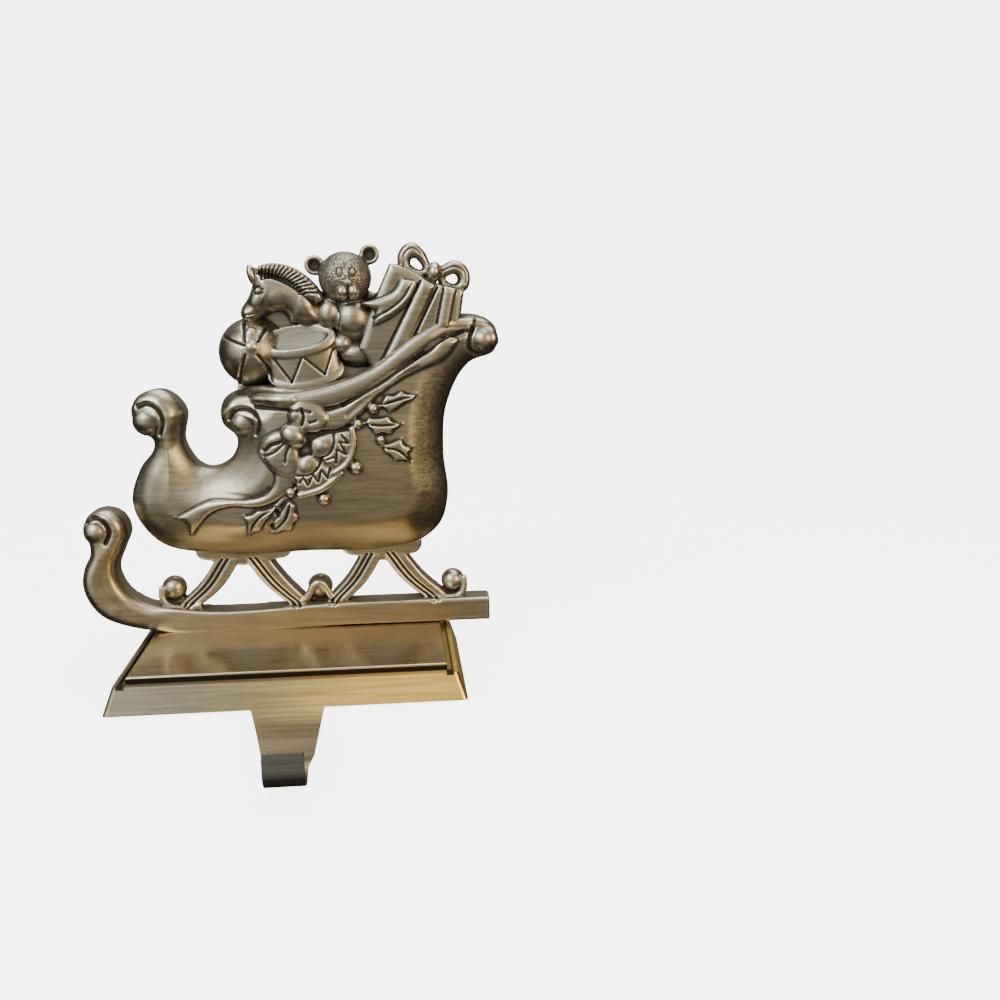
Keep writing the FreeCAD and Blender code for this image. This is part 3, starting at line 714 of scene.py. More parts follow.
@dataclass(frozen=True)
class PlainFinish:
    """A hidden part's finish: one colour broken up by fine noise."""

    name: str
    colour: Colour
    metallic: float
    roughness: float
    scale: float
    depth: float

    def build(self) -> Material:
        """Makes the material and returns it."""
        material, sheet = started(self.name)
        grain = sheet.noise(sheet.add("TexCoord").outputs["Object"], self.scale, 5.0)
        lighter = tuple(min(1.0, part * 1.5 + 0.01) for part in self.colour) + (1,)
        darker = tuple(part * 0.6 for part in self.colour) + (1,)
        bump = sheet.add("Bump", {"Strength": 0.4, "Distance": self.depth, "Height": grain})
        sheet.shade(
            base_color=sheet.blend(sheet.span(grain, 0.3, 0.7), darker, lighter),
            metallic=self.metallic,
            roughness=sheet.spread(grain, self.roughness - 0.08, self.roughness + 0.08),
            normal=bump.outputs[0])
        return material


# The sleigh figure

BODY_OUTLINE: Line = ((50, 45), (36, 42), (6, 41.8), (-32, 42), (-53.4, 48.2), (-61.8, 63.8), (-57.8, 77),
    (-51.8, 86.8), (-57.8, 92.4), (-59.6, 100.4), (-48.6, 107.2), (-39.8, 100.2), (-40.4, 86), (-32.6, 76.6),
    (-22, 81.6), (-20.4, 87.2), (-25.8, 94), (-24.6, 103), (-16, 107.2), (8, 107.2), (30, 113.6), (50, 127),
    (66, 134), (79.8, 129.8), (80.8, 120.3), (70.4, 115.2), (61.4, 99.6), (59.6, 80), (60.9, 62), (58, 52))


@dataclass
class SleighBody:
    """The sleigh's shell with its scrolls, rim, ribbon, bow, bells and holly."""

    wall: float = 7.0
    shoulder: float = 5.0
    shoulder_width: float = 7.5
    belly: float = 8.2
    belly_width: float = 15.0
    belly_place: Pair = (12, 78)
    belly_reach: float = 60.0
    open_from: int = 22
    open_to: int = 18
    casting: Casting = field(default_factory=lambda: Casting("sleigh_body"))

    def __post_init__(self) -> None:
        """Samples the outline once, without the open top edge between the two upper scrolls."""
        closed = sampled(BODY_OUTLINE, closed=True)
        steps = len(closed) // len(BODY_OUTLINE)
        self.sides = np.concatenate([closed[self.open_from * steps:], closed[:self.open_to * steps + 1]])

    def ground(self, flat: Rows) -> Rows:
        """Gives the depth of the shell's front at places (x, z)."""
        inset = distance_to(flat, self.sides, False)
        away = ((flat - np.array(self.belly_place)) ** 2).sum(axis=1)
        return (self.wall + self.shoulder * quarter(inset / self.shoulder_width)
                + self.belly * np.exp(-away / self.belly_reach ** 2) * ease(inset / self.belly_width))

    def at(self, x: float, z: float) -> float:
        """Gives the depth of the shell's front at one place."""
        return float(self.ground(np.array([[x, z]], float))[0])

    def scrolls(self) -> None:
        """Adds the ball in each scroll, the gap round it and the crest that runs into it."""
        for place, size in (((-53.4, 95.4, 7.4), 6.1), ((-16.8, 94, 10.8), 5.6), ((76, 124, 8.8), 5.4)):
            self.casting.ball(place, (size, size, size))
        self.casting.grooves += [
            Groove(((-56.4, 101), (-52.8, 102.2), (-48.4, 99.8), (-46.9, 95), (-48.4, 90.6)), 1.2, 1.5),
            Groove(((-22.4, 95.8), (-20.4, 98.8), (-16.6, 100), (-12.4, 98.4), (-10.8, 94.4),
                (-12, 90.2)), 1.2, 1.6),
            Groove(((71.6, 128.6), (70.2, 124.4), (70.8, 120), (74, 117.8)), 1.2, 1.5),
            Groove(((-55.4, 104.4), (-49.4, 105), (-44.8, 100.4), (-44.8, 93.4), (-48.2, 86.4), (-51, 78),
                (-54, 68), (-54.4, 57.5)), 5, -0.6),
            Groove(((2, 103.4), (-12, 103.8), (-20, 102.2), (-23.8, 97.4)), 2.6, -0.8),
            Groove(((62, 131.2), (72, 131.2), (79.2, 128.2), (80.4, 123)), 2.4, -0.8)]

    def rim(self) -> None:
        """Adds the broad raised border from the seat scroll up to the rear scroll."""
        self.casting.puff([((-15.5, 106.2, 1), (8, 106.6), (31, 113.6), (52, 127.8), (66, 133),
            (72.5, 132, 1), (71, 127.8, 1), (60, 125.4), (50, 118.8), (37, 109.6), (21, 101.4), (9, 99.4),
            (-12, 101.4, 1))], 0.5, 1.9, 3.4, 7, self.ground)
        self.casting.grooves += [
            Groove(((-12, 100.6), (0, 99.4), (9, 98.6)), 1, 0.6),
            Groove(((21, 100.8), (37, 109.2), (50, 118.2), (60, 124.8), (68, 127.4)), 1, 0.9)]

    def ribbons(self) -> None:
        """Adds the ribbon's two long ends."""
        right = ((8, 98.6, 1), (15, 98.8), (21.6, 101), (28.3, 106.2), (38, 113), (44.6, 115.4),
            (50.1, 117.9), (55, 120.4), (58.8, 124), (62.9, 128.6, 1), (63.7, 125.4, 1), (66.4, 124.6, 1),
            (63.5, 119.6), (59.6, 116.2), (53.7, 114.2), (43.9, 110), (34.2, 103.8), (27.4, 96.8),
            (20.6, 92.4), (8, 91.6, 1))
        left = ((-5.3, 76, 1), (-6, 71.4), (-9, 67.6), (-15, 65.6), (-23.1, 65.4), (-30.7, 65.3),
            (-38.4, 61.7), (-44.7, 58.4, 1), (-40.6, 56.9, 1), (-39, 50.6, 1), (-35.4, 55.4), (-31, 60),
            (-24, 62.6), (-12, 62.4), (-4, 65.6), (1.4, 70.8), (3.2, 76, 1))
        for outline in (right, left):
            self.casting.puff([outline], 0.9, 1.2, 2.4, 7, self.ground)
        self.casting.grooves += [
            Groove(((23, 97), (30, 102.8), (40, 109.8), (50, 114.2)), 1.6, 0.35),
            Groove(((-8, 69.6), (-13, 66.8), (-22, 67), (-30, 67.6)), 1.2, 0.35, taper=True)]

    def bow(self) -> None:
        """Adds the bow's two loops, the small fold and the knot."""
        cast = self.casting
        upper = ((4, 92), (0.9, 96), (1.2, 100.6), (4.2, 103), (8.8, 102.6), (13.7, 100.2), (16.4, 96),
            (13.9, 92), (9, 90.6))
        lower = ((-1.7, 91.9), (-6.2, 91), (-10.6, 87.6), (-11.7, 84), (-9, 79.6), (-4, 74.6), (0.2, 73.6),
            (3.5, 76), (4.6, 81.4), (3.2, 87))
        for outline in (upper, lower):
            cast.puff([outline], 0.9, 2.1, 3, 8, self.ground)
        cast.ball((3.2, 97.6, self.at(3.2, 97.6) + 1.4), (2, 3.7, 1.9), -6)
        cast.ball((2.4, 89.6, self.at(2.4, 89.6) + 1.5), (5.4, 4.3, 3.7), -42)
        cast.grooves += [
            Groove(((5.8, 99.8), (6.4, 96.8), (5.6, 93.8)), 0.8, 1.3),
            Groove(((8.6, 94.8), (11, 95.4)), 0.8, 0.9),
            Groove(((-2.8, 87.6), (-6, 86.8), (-9.2, 84.6)), 1.2, 1.5),
            Groove(((-1.6, 86.8), (-5.4, 83.6), (-9.4, 82.4)), 0.7, 0.9),
            Groove(((0.8, 86.2), (-0.8, 82.6), (-1.2, 79.8)), 0.7, 0.7)]

    def bells(self) -> None:
        """Adds two hand bells with lipped mouths, zigzag bands and clappers."""
        cast = self.casting
        first = ((3.4, 67.6, 1), (2, 72.6), (2.2, 77), (4.4, 81.4), (8.4, 82.6), (11.6, 80.4), (15.6, 77.6),
            (19.4, 75.2, 1), (15, 71.4), (9.8, 68.6))
        second = ((16.2, 76.6, 1), (12.4, 80), (8.6, 83.8), (9.2, 88), (13.2, 90), (19, 90.8),
            (24.2, 91.6, 1), (24.6, 86.8), (23.2, 81.6), (20.4, 78))
        for outline in (first, second):
            cast.puff([outline], 1.2, 1.9, 3.4, 8, self.ground)
        for x, z in ((6.6, 78), (12.9, 85.4)):
            cast.ball((x, z, self.at(x, z) + 0.1), (4.2, 4.2, 3.5))
        lips = (
            ((3, 66.8), (9.8, 68), (15.4, 71.2), (19.6, 75)),
            ((16.8, 75.2), (21.4, 77.4), (24.2, 82.2), (25.2, 87.2), (24.4, 91.6)))
        for line in lips:
            cast.tube([(x, z, self.at(x, z) + 2, 1.4) for x, z in line])
        bands = (
            ((3.6, 71.8), (5.4, 73.8), (7, 70.8), (9, 74.8), (11, 72), (12.4, 76.6), (14.6, 73.4),
                (15.6, 77)),
            ((14.4, 80.4), (17.6, 81.6), (18, 79), (18.6, 84.2), (21.8, 82.4), (19.8, 87), (22.8, 86.6),
                (20.4, 90)))
        for line in bands:
            cast.grooves.append(Groove([(x, z, 1) for x, z in line], 0.65, 0.9))
        cast.grooves += [
            Groove(((3, 74.6), (8, 75), (11.4, 77.8), (12.6, 80.8)), 0.7, 0.9),
            Groove(((11.6, 81), (15.6, 82.8), (17.4, 86.6), (17.4, 90.4)), 0.7, 0.9)]
        for x, z, size in ((12.8, 65.1, 2.5), (25.4, 76.8, 2.6)):
            cast.ball((x, z, self.at(x, z) + 0.5), (size, size, size))

    def holly(self) -> None:
        """Adds the holly leaves, their veins, the two recesses between the lower ones and the berries."""
        cast = self.casting
        leaves = (
            ((35.3, 100.2, 1), (37.6, 104.3, 1), (40, 103.7), (43.4, 105.7, 1), (45.2, 104.4),
                (49.9, 104.3, 1), (46.6, 101.6), (44.4, 100.9, 1), (41.9, 99.1), (38.8, 97.5, 1),
                (37.6, 98.9)),
            ((29.1, 93.6, 1), (30.7, 95.9, 1), (33.6, 95.3), (38.4, 96.1, 1), (39.4, 94.4),
                (43.9, 93.1, 1), (40.8, 91.4), (38.8, 88.9, 1), (36, 90), (32.6, 89.3, 1), (31.8, 91.4)),
            ((36.1, 85.2, 1), (38.6, 85.8), (43.1, 87.5, 1), (44, 85), (47.2, 83.6, 1), (45.6, 81.2),
                (46.4, 77.9, 1), (43, 79.2), (40, 78.8, 1), (39, 81), (36.3, 82.6, 1)),
            ((-5, 63, 1), (-9, 61.4), (-12.8, 61.2, 1), (-15, 59.6), (-18.6, 58.8, 1), (-17, 55.4),
                (-17.8, 50, 1), (-14.4, 52.2), (-12.4, 52.4, 1), (-10.6, 56.2), (-7.6, 59.4)),
            ((-0.8, 64.6, 1), (1.7, 63), (1.6, 60, 1), (2.8, 58.2), (0.8, 56, 1), (-0.4, 52.8),
                (-3.9, 52.6, 1), (-6, 51.4), (-8.9, 51.2, 1), (-7, 54), (-7, 56.8, 1), (-4.2, 60)))
        for outline in leaves:
            cast.puff([outline], 1.3, 0.9, 1.3, 8, self.ground)
        veins = (
            ((36, 100.6), (42, 102.2), (48.6, 103.8)),
            ((29.8, 93.2), (36, 92.8), (42.8, 93)),
            ((36.8, 84), (41.2, 83.2), (46.2, 78.9)),
            ((-5.6, 62.4), (-12.4, 58.2), (-17.2, 51.4)),
            ((-0.4, 63.8), (-1.8, 58.6), (-7.8, 51.8)))
        for vein in veins:
            cast.grooves.append(Groove(vein, 0.7, 1.2))
        for x, z in ((-5.5, 60.4), (-7.7, 54.8)):
            cast.grooves.append(Groove(((x, z), (x + 0.4, z - 1.2)), 1.2, 1.3))
        for x, z, size in ((0.2, 67.8, 1.9), (26.6, 93.4, 1.9), (32.6, 99.1, 2.1), (35.1, 87.2, 1.8)):
            cast.ball((x, z, self.at(x, z) + 0.7), (size, size, size))
        for line in (
                ((-6, 62.4), (-1.6, 66), (2.2, 69.4)),
                ((35.2, 100.2), (33, 98.6)),
                ((35.6, 84.6), (35, 86.6)),
                ((29.6, 93.6), (25.2, 93.2), (20.6, 95))):
            cast.tube([(x, z, self.at(x, z) + 0.3, 0.8) for x, z in line])

    def build(self, stand: Standing) -> Object:
        """Builds the piece and returns it."""
        self.casting.puff([BODY_OUTLINE], 0, 0, 1, ground=self.ground)
        self.rim()
        self.scrolls()
        self.ribbons()
        self.bow()
        self.bells()
        self.holly()
        return self.casting.finish(stand)


@dataclass
class Underframe:
    """The runner with its curl, the four ribbed legs, their feet and the two brackets."""

    rib_shares: Pair = (0.26, 0.48)
    rib_drop: float = 0.06
    casting: Casting = field(default_factory=lambda: Casting("underframe"))

    def curl_share(self, flat: Rows) -> Rows:
        """Gives how much of the runner's section is the curl's rounder one."""
        return ease((-46 - flat[:, 0]) / 22)

    def runner(self) -> None:
        """Adds the runner and its curled front."""
        cast = self.casting
        cast.puff([((-54, RUNNER_BOTTOM), (-67, 13.3), (-77, 18.1), (-81.8, 24.8), (-83.4, 31.4),
            (-82.2, 37.8), (-79.5, 43.6), (-79.6, 47.4), (-81.6, 52.6), (-78.8, 59), (-73, 61.3),
            (-66.6, 58.8), (-63.9, 52.6), (-66.6, 44.8), (-69.4, 37.2), (-66.9, 29.4), (-59.6, 23.4),
            (-48, 20.9), (20, 20.9), (76.8, 20.9, 1), (76.8, RUNNER_BOTTOM, 1),
            (20, RUNNER_BOTTOM))], 10.4, 1.1, 0.9, flow=self.curl_share)
        cast.ball((-76, 52.4, 7.4), (5.2, 5.2, 5.2))
        cast.grooves += [
            Groove(((-80, 56), (-76.6, 58.4), (-72.4, 56.8), (-70.7, 52.6), (-72.4, 48.4)), 1.3, 2),
            Groove(((-76.6, 59.6), (-71, 58.4), (-68.6, 52.2), (-71.4, 46.2), (-76.2, 39.6),
                (-78.4, 32.6), (-76.6, 25.6), (-72, 20.6)), 4, -0.5)]

    def legs(self) -> None:
        """Adds the four legs, each with two lengthwise grooves that stop just short of the top."""
        legs = (
            (((-31, 40.4), (-38.4, 29.6), (-46, 22.2)), ((-21.2, 40.4), (-29.6, 28), (-40, 19.6))),
            (((-21, 40.4), (-12.4, 28.2), (-3, 19.6)), ((-11, 40.4), (-3.6, 30.2), (5.2, 20.6))),
            (((26, 40.4), (19.6, 30.2), (10.8, 20.6)), ((35, 40.4), (27.6, 28.4), (18.4, 19.6))),
            (((33.2, 40.4), (41.6, 28.6), (52.2, 19.4)), ((43, 40.4), (50.6, 30.4), (60.4, 21.4))))
        for left, right in legs:
            outline = [(*left[0], 1), left[1], (*left[2], 1), (*right[2], 1), right[1], (*right[0], 1)]
            self.casting.puff([outline], 7.6, 1.4, 1.1)
            for share in self.rib_shares:
                line = [tuple(np.array(one) * (1 - share) + np.array(two) * share)
                        for one, two in zip(left, right)]
                line[0] = tuple(np.array(line[0]) * (1 - self.rib_drop) + np.array(line[1]) * self.rib_drop)
                self.casting.grooves.append(Groove(line, 0.8, 1.1))

    def brackets(self) -> None:
        """Adds the two rounded plates that carry the sleigh."""
        for outline in (
                ((-39, 44.6, 1), (-38.8, 41.6), (-37, 39.8), (-33.4, 39), (-27, 37.6), (-20, 36.8),
                    (-14, 37.8), (-7, 39), (-3.6, 39.8), (-1.8, 41.8), (-1.6, 44.6, 1)),
                ((17.4, 44.6, 1), (18.2, 41.6), (20.2, 39.8), (24, 39), (29, 37.8), (34.4, 36.8),
                    (40, 37.8), (45.2, 39), (48, 39.8), (49.8, 42.2), (50, 46, 1))):
            self.casting.puff([outline], 7.6, 1.2, 1.1)

    def feet(self) -> None:
        """Adds the balls that the legs curl round and the arch between the middle legs."""
        cast = self.casting
        left = ((-38, 21.4, 8, 1.7), (-44, 19.9, 8, 1.7), (-50.6, 20.6, 8, 1.6), (-53.4, 24.6, 8, 1.5),
                (-53, 28.6, 7.8, 1.2))
        right = ((54, 21, 8, 1.7), (59, 20.2, 8, 1.6), (64.6, 20.8, 8, 1.5), (67, 24.4, 8, 1.4),
                 (66.6, 28.6, 7.8, 1.2))
        arch = ((0.8, 20.4, 8, 1.6), (4, 22.6, 8.2, 1.6), (6.2, 28, 8.4, 1.7), (9.2, 29.2, 8.4, 1.7),
            (11.6, 26, 8.2, 1.6), (13.2, 22.4, 8, 1.5), (17, 20.4, 8, 1.5))
        for band in (left, right, arch):
            cast.tube(band)
        for x, z, size in ((-48.6, 28, 4.9), (62.2, 27, 4.7), (8.8, 26.6, 5)):
            cast.ball((x, z, 4.4), (size, size, 5))
            stem = ((x - 3.8, z, 1), (x - 3.6, 19.5, 1), (x + 3.8, 19.5, 1), (x + 3.4, z, 1))
            cast.puff([stem], 5.6, 0.6, 2)

    def build(self, stand: Standing) -> Object:
        """Builds the piece and returns it."""
        self.runner()
        self.legs()
        self.brackets()
        self.feet()
        return self.casting.finish(stand)


@dataclass
class Toys:
    """The toys that stand in the sleigh: ball, drum, horse's head, bear and wrapped gift."""

    left: Casting = field(default_factory=lambda: Casting("toys_left"))
    right: Casting = field(default_factory=lambda: Casting("toys_right"))

    def beach_ball(self) -> None:
        """Adds the ball with its button and seams."""
        cast = self.left
        cast.ball((-12.9, 120.6, 3.5), (13.1, 13.1, 13.1))
        cast.ball((-12.2, 122.8, 14.8), (2.8, 2.8, 2.2))
        cast.ball((-12.2, 127.6, 12.2), (2.7, 2.7, 2.4))
        for line in (
                ((-9.4, 125), (-6.4, 130.4)),
                ((-14.9, 123.8), (-19, 125.2), (-23, 126.8)),
                ((-14.6, 120), (-16.5, 114.5), (-18.4, 108.6)),
                ((-9.8, 119.9), (-6.6, 115.5), (-5.3, 108.6)),
                ((-14.6, 125), (-15, 132))):
            cast.grooves.append(Groove(line, 0.8, 1))

    def drum(self) -> None:
        """Adds the drum, foreshortened as the casting shows it, with its hoops and zigzag lines."""
        place = Matrix((
            (0.9936, 0, -0.235, 8), (0.113, -0.34, 0.972, 111.4), (0, 0.24, 0, 11.8), (0, 0, 0, 1)))
        self.left.turned(((0, 0), (14, 0), (14.6, 0.6), (14.6, 2), (14, 2.6), (13.3, 2.8), (13.3, 12.2),
            (14, 12.5), (14.7, 13.1), (14.7, 14.6), (14.1, 15.4), (12.5, 15.4), (11.8, 14.9), (11.4, 13.7),
            (0, 13.7)), place)
        for line in (
                ((-4.4, 118.2), (2.1, 109.4)),
                ((2.1, 109.4), (6.3, 118.4)),
                ((7.2, 118.6), (14.8, 112.2)),
                ((14.8, 112.2), (18.2, 121.4)),
                ((18.6, 121.6), (21.6, 116.6))):
            self.left.grooves.append(Groove(line, 0.6, 0.9))

    def horse(self) -> None:
        """Adds the horse's head, its ribbed mane, eye and mouth."""
        cast = self.left
        head = ((-12.8, 153, 1), (-11.2, 149), (-11.8, 144.6), (-13.8, 140.2), (-16, 137), (-16.2, 134.2),
            (-14.4, 132), (-11.9, 130.4, 1), (-9.6, 133), (-6.8, 135), (-1.6, 136.6), (1.2, 134.8),
            (2.2, 131.6, 1), (14.6, 131.2, 1), (13, 138), (8.6, 144.6), (1, 148.8), (-6.6, 151, 1))
        cast.puff([head], 8.4, 5, 7)
        cast.ball((-2.6, 142, 8.2), (8.2, 6.6, 5.4))
        cast.ball((-8.8, 141, 8.8), (6.6, 3.8, 5.2), 62)
        cast.ball((-13.2, 135.2, 8.8), (2.6, 3.4, 4), 16)
        cast.ball((7, 138.4, 7.9), (5.8, 8.2, 5.6), 24)
        cast.ball((-11.2, 149.6, 10.6), (1.7, 4, 2.4), 14)
        cast.ball((-8.8, 143.8, 13.6), (1.5, 1, 1), 30)
        mane = ((-8.8, 153, 1), (-4.4, 153.9), (0.4, 153.4), (4.8, 151.7), (8.9, 148.9), (12.6, 145.2),
            (15.4, 140.4, 1), (12.4, 138.6, 1), (8.6, 142.6), (4.2, 145.8), (-0.6, 148.2), (-4.6, 149.8),
            (-8.8, 151, 1))
        cast.puff([mane], 11.6, 1.8, 2.2)
        for number in range(15):
            turn = math.radians(110 - number * 6)
            inner = (-3.6 + 11.0 * math.cos(turn), 137.6 + 11.0 * math.sin(turn))
            outer = (-2.6 + 18.6 * math.cos(turn - 0.10), 136.4 + 18.6 * math.sin(turn - 0.10))
            cast.grooves.append(Groove((inner, outer), 0.55, 1.1))
        cast.grooves += [
            Groove(((-8.4, 150.2), (-4.4, 149), (-0.4, 147.4), (4.2, 144.9), (8.4, 141.7), (12, 138)),
                0.7, 0.9),
            Groove(((-10.8, 144.6), (-8.9, 145.2), (-6.9, 144.2)), 0.5, 0.6),
            Groove(((-10.4, 142.8), (-8.6, 142.4), (-7, 143.2)), 0.5, 0.5),
            Groove(((-15.4, 134.4), (-13, 134.8), (-10.6, 135.2)), 0.5, 0.6)]

    def bear(self) -> None:
        """Adds the bear's head, ears, arm, belly and foot."""
        cast = self.right
        cast.ball((23.4, 148.2, 8), (10.1, 9.8, 9.6))
        for x in (22.5, 26.7):
            cast.ball((x, 143, 14.8), (2.5, 3, 3.2))
        cast.ball((24.6, 146.3, 16.9), (1.7, 1.3, 1.4))
        cast.ball((24.5, 148.9, 16.6), (1.1, 2.6, 1.1))
        for x in (21.7, 26.6):
            cast.ball((x, 150.1, 16.6), (0.9, 1.3, 1))
        for x, z in ((12, 152.9), (32.9, 156.7)):
            ring = Matrix.Translation((x, z, 6))
            cast.turned(((0, -6), (3.4, -6), (3.8, -1), (3.8, 1.6), (3.3, 2.7), (2.6, 2.8), (2.2, 2),
                (1.6, 1.2), (0, 0.9)), ring, 40)
        cast.ball((26, 132.4, 8.2), (7.8, 8.6, 7))
        cast.ball((17, 134.8, 7.8), (5.2, 6.6, 5.6), -8)
        cast.ball((27, 119.6, 7), (8, 5, 6.2))
        cast.ball((21.6, 123.4, 8), (4.6, 4.4, 5.6))
        cast.grooves += [
            Groove(((24.6, 145.2), (24.6, 142.2), (24.6, 140)), 0.35, 0.6),
            Groove(((20.4, 150.1), (21.7, 151.9), (23, 150.1), (21.7, 148.3)), 0.4, 0.4, closed=True),
            Groove(((25.3, 150.1), (26.6, 151.9), (27.9, 150.1), (26.6, 148.3)), 0.4, 0.4, closed=True),
            Groove(((20, 139.4), (21, 134.6), (20.2, 128)), 0.5, 0.5)]

    def gift(self) -> None:
        """Adds the wrapped gift, its ribbon bands, the folded tail and the bow on top."""
        cast = self.right
        cast.puff([((40.4, 153.4, 1), (44.6, 152.6, 1), (58, 145.6, 1), (68.6, 142.8, 1), (66.4, 128, 1),
            (52, 116, 1), (34, 112, 1), (27.6, 121.6, 1), (34.8, 141.2, 1))], 12.6, 1.8, 3.5)
        cast.puff([((52.2, 147.8, 1), (58, 145, 1), (46.4, 121, 1), (36, 116, 1))], 14.2, 1.9, 3)
        cast.puff([((60.4, 145, 1), (65.6, 143.6, 1), (62.4, 128, 1), (57, 128, 1))], 14.2, 1.6, 2.6)
        cast.puff([((44.6, 147.6, 1), (50.8, 146.4, 1), (48.9, 140.8), (43, 134.8), (33.4, 129.8, 1),
            (34.8, 136, 1), (28.8, 138.8, 1), (36, 140.4), (41.6, 143))], 15.2, 1.7, 2.8)
        cast.puff([((55.6, 149.4), (50, 148), (45.4, 150.2), (43.4, 154.8), (45.2, 159.2), (48.8, 161.1),
            (52.8, 158.8), (55.4, 154.2)), ((53, 151.3), (49.6, 151.9), (48.3, 153.5), (49.8, 155.2),
            (51.9, 153.7))], 10.4, 2.4, 2.4)
        cast.puff([((58.6, 150.6), (61.6, 152.9), (65.6, 154.2), (69.4, 152.2), (71.2, 147.6), (69.6, 142.9),
            (64.2, 142.3), (59.4, 145.6)), ((61.7, 147.3), (63.3, 148.5), (65.8, 148.8), (66.6, 147.1),
            (65.7, 145.5), (63.2, 145.9))], 10, 2.4, 2.2)
        cast.ball((57.2, 149.8, 10.8), (3, 3.9, 4.4), -10)
        cast.grooves += [
            Groove(((35.6, 116), (51.8, 146.6)), 0.6, 0.8),
            Groove(((46.8, 121.4), (58.4, 144.2)), 0.6, 0.8),
            Groove(((57, 128.4), (60.3, 143.6)), 0.6, 0.7),
            Groove(((48.6, 145.6), (45.2, 140.2), (40, 136), (33.8, 133)), 0.8, 0.6),
            Groove(((45.6, 152.2), (46, 156.6), (49.2, 158.8), (52.4, 156.8)), 0.6, 0.5),
            Groove(((60.6, 150.4), (65.2, 151.8), (68.8, 149.6), (69, 145.6)), 0.6, 0.5)]

    def backing(self) -> None:
        """Adds the plain web behind the toys, half to each piece."""
        self.left.puff([((-20, 104, 1), (-18, 126, 1), (-12.6, 132.6, 1), (-7.6, 136.6, 1), (2, 145, 1),
            (16, 143, 1), (20, 104, 1))], 4, 0.6, 1)
        self.right.puff([((13, 104, 1), (12, 142, 1), (24, 146, 1), (36, 142, 1), (56, 142, 1), (64, 130, 1),
            (36, 106, 1))], 6.4, 0.6, 1, 0.5)

    def build(self, stand: Standing) -> list[Object]:
        """Builds both pieces and returns them."""
        self.backing()
        self.beach_ball()
        self.drum()
        self.horse()
        self.bear()
        self.gift()
        return [self.left.finish(stand), self.right.finish(stand)]


def dress(piece: Object, material: Material) -> None:
    """Gives a piece one material in all its slots."""
    piece.data.materials.clear()
    piece.data.materials.append(material)


# Stage, light and camera

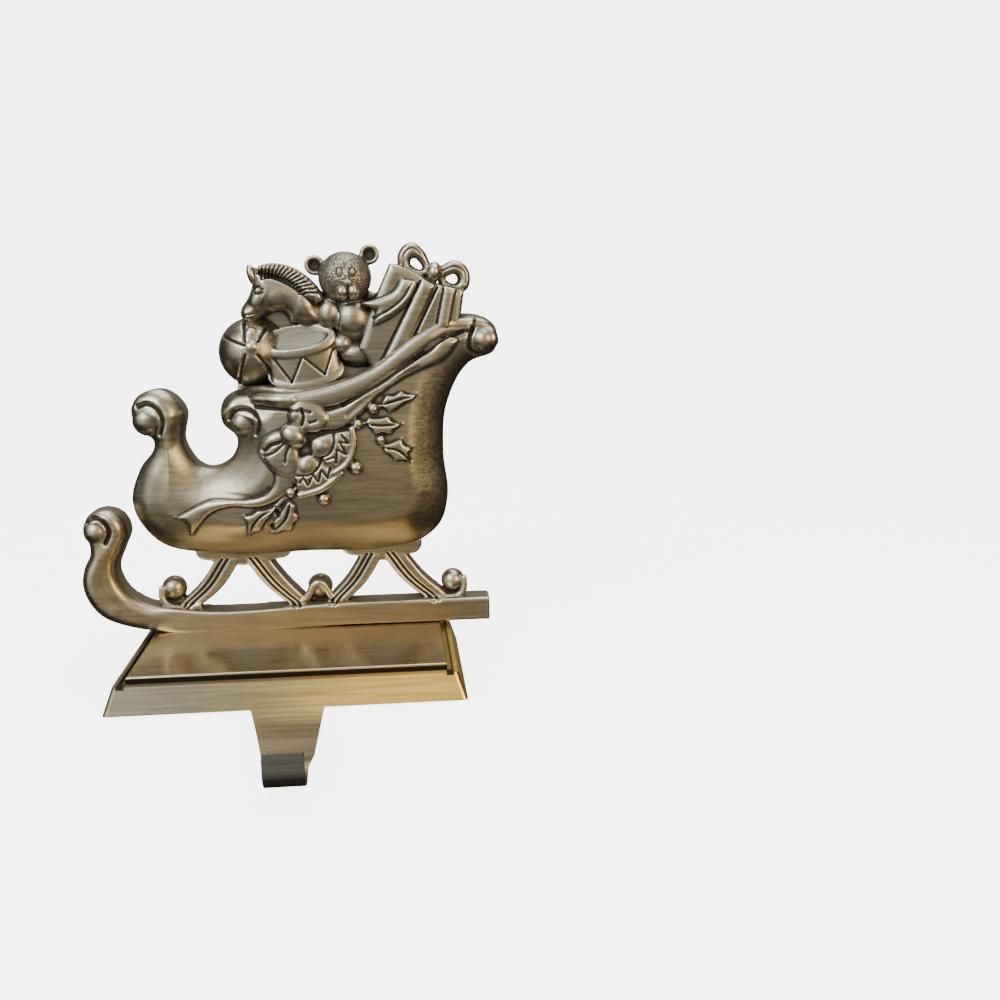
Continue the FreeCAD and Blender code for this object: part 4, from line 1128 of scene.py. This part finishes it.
@dataclass(frozen=True)
class Studio:
    """A pale shelf and backdrop, soft lights and the camera."""

    shelf_edge: float = -0.034
    floor_level: float = -0.0225
    half_width: float = 3.0
    bend_start: float = 0.9
    bend_radius: float = 0.5
    bend_steps: int = 8
    crease: float = 0.0004
    chamfer: float = 0.0008
    glow: float = 0.25
    glow_seen: float = 4.0
    sky_seen: float = 5.0
    lens: float = 40.14
    camera_place: tuple[float, float, float] = (0.03901, -0.41008, 0.14681)
    right: tuple[float, float, float] = (0.99494, -0.09971, -0.01255)
    ahead: tuple[float, float, float] = (0.09542, 0.97644, -0.19356)

    def stage(self) -> None:
        """Makes the floor, the low shelf that the base stands on and the backdrop, as one swept sheet."""
        shape = bmesh.new()
        profile = [(-self.half_width, self.floor_level), (self.shelf_edge - self.crease, self.floor_level),
                   (self.shelf_edge, self.floor_level + self.crease), (self.shelf_edge, -self.chamfer),
                   (self.shelf_edge + self.chamfer, 0.0), (self.bend_start, 0.0)]
        for step in range(1, self.bend_steps + 1):
            turn = math.radians(90 * step / self.bend_steps)
            profile.append((self.bend_start + self.bend_radius * math.sin(turn),
                            self.bend_radius - self.bend_radius * math.cos(turn)))
        profile.append((self.bend_start + self.bend_radius, self.half_width))
        chain = [shape.verts.new((-self.half_width, y, z)) for y, z in profile]
        edges = [shape.edges.new(pair) for pair in zip(chain, chain[1:])]
        made = bmesh.ops.extrude_edge_only(shape, edges=edges)["geom"]
        moved = [item for item in made if isinstance(item, bmesh.types.BMVert)]
        bmesh.ops.translate(shape, vec=(2 * self.half_width, 0, 0), verts=moved)
        bmesh.ops.recalc_face_normals(shape, faces=shape.faces[:])
        stage = linked("pale_stage", as_mesh(shape, "pale_stage"))
        material, sheet = started("pale_stage")
        seen = sheet.add("LightPath").outputs["Is Camera Ray"]
        sheet.shade(base_color=(0.9, 0.9, 0.9, 1), roughness=0.9, emission_color=(1, 1, 1, 1),
                    emission_strength=sheet.plus(sheet.times(seen, self.glow_seen), self.glow))
        dress(stage, material)
        stage.visible_glossy = False

    def lamp(self, name: str, place: Sequence[float], aim: Sequence[float], size: Sequence[float],
             power: float, colour: Sequence[float]) -> None:
        """Adds a soft rectangular light.

        Args:
            name: Its name.
            place: Where it hangs.
            aim: The place it faces.
            size: Its width and height in metres.
            power: Its power in watts.
            colour: Its colour.
        """
        data = bpy.data.lights.new(name, "AREA")
        data.shape = "RECTANGLE"
        data.size, data.size_y = size
        data.energy = power
        data.color = colour
        light = linked(name, data)
        light.location = place
        light.rotation_euler = (Vector(aim) - Vector(place)).to_track_quat("-Z", "Y").to_euler()

    def lights(self) -> None:
        """Hangs the studio lights and sets the surroundings that the metal mirrors."""
        centre = (0.0, 0.0, 0.07)
        self.lamp("key_light", (-0.55, -0.75, 0.75), centre, (0.6, 0.6), 9.0, (0.93, 0.97, 1.0))
        self.lamp("fill_light", (0.7, -0.65, 0.35), centre, (0.4, 0.5), 4.5, (1.0, 0.76, 0.44))
        self.lamp("top_light", (0.1, 0.1, 1.0), centre, (1.0, 0.8), 9.0, (1.0, 1.0, 1.0))
        world = bpy.data.worlds.new("surroundings")
        bpy.context.scene.world = world
        world.use_nodes = True
        sheet = NodeSheet(world.node_tree)
        world.node_tree.nodes.clear()
        way = sheet.add("TexCoord").outputs["Generated"]
        shade = sheet.add("RGB").outputs[0]
        shade.default_value = (0.045, 0.040, 0.034, 1)
        for aim, low, high, colour in (
                ((0.0, -0.98, -0.2), 0.60, 1.0, (0.27, 0.25, 0.21, 1)),
                ((-0.66, -0.66, 0.36), 0.68, 1.0, (1.15, 1.18, 1.14, 1)),
                ((0.42, -0.78, 0.46), 0.78, 1.0, (0.80, 0.60, 0.34, 1)),
                ((0.0, 0.80, 0.60), 0.35, 1.0, (0.26, 0.245, 0.21, 1)),
                ((0.0, -0.3, 0.95), 0.62, 1.0, (0.34, 0.36, 0.38, 1))):
            facing = sheet.add("VectorMath", {0: way, 1: aim}, operation="DOT_PRODUCT").outputs["Value"]
            lobe = sheet.blend(sheet.span(facing, low, high), (0, 0, 0, 1), colour)
            shade = sheet.laid("ADD", shade, lobe)
        mirrored = sheet.add("Background", {0: shade, 1: 1.0})
        seen = sheet.add("Background", {0: (1, 1, 1, 1), 1: self.sky_seen})
        by_camera = sheet.add("LightPath").outputs["Is Camera Ray"]
        mix = sheet.add("MixShader", {0: by_camera, 1: mirrored.outputs[0], 2: seen.outputs[0]})
        sheet.add("OutputWorld", {0: mix.outputs[0]})

    def camera(self) -> None:
        """Sets the camera to the photograph's place, direction and lens."""
        data = bpy.data.cameras.new("camera")
        data.lens = self.lens
        data.sensor_width = 36.0
        data.clip_start = 0.01
        camera = linked("camera", data)
        ahead = Vector(self.ahead).normalized()
        right = (Vector(self.right) - ahead * Vector(self.right).dot(ahead)).normalized()
        up = right.cross(ahead)
        turn = Matrix((right, up, -ahead)).transposed().to_4x4()
        camera.matrix_world = Matrix.Translation(self.camera_place) @ turn
        bpy.context.scene.camera = camera


def corners(limits: tuple[Vector, Vector]) -> list[list[float]]:
    """Gives a box as plain numbers."""
    return [[float(value) for value in corner] for corner in limits]


def main() -> None:
    """Loads the frame, builds every piece and sets the stage."""
    logging.basicConfig(level=logging.INFO, format="%(message)s")
    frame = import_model()
    low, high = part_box("sleigh_figure")
    stand = Standing(back=high.y, lift=low.z - RUNNER_BOTTOM * MM)
    tarnish = tarnish_group()
    figure_metal = FigureMetal().build(tarnish)
    pieces = [SleighBody().build(stand), Underframe().build(stand), *Toys().build(stand)]
    for piece in pieces:
        dress(piece, figure_metal)
        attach(piece, "root")
        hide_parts("sleigh_figure")
    dress(frame["nodes"]["hook_base"], BaseMetal().build(tarnish))
    finishes = {
        "weight_block": PlainFinish(Slot.IRON.value, (0.16, 0.15, 0.14), 0.9, 0.6, 900.0, 0.0004),
        "base_pad": PlainFinish(Slot.FOAM.value, (0.035, 0.035, 0.035), 0.0, 0.95, 2600.0, 0.0006),
        "fixing_screws": PlainFinish(Slot.SCREW.value, (0.5, 0.5, 0.48), 1.0, 0.35, 1500.0, 0.0001)}
    for node, finish in finishes.items():
        dress(frame["nodes"][node], finish.build())
    studio = Studio()
    studio.stage()
    studio.lights()
    studio.camera()


if __name__ == "__main__":
    main()
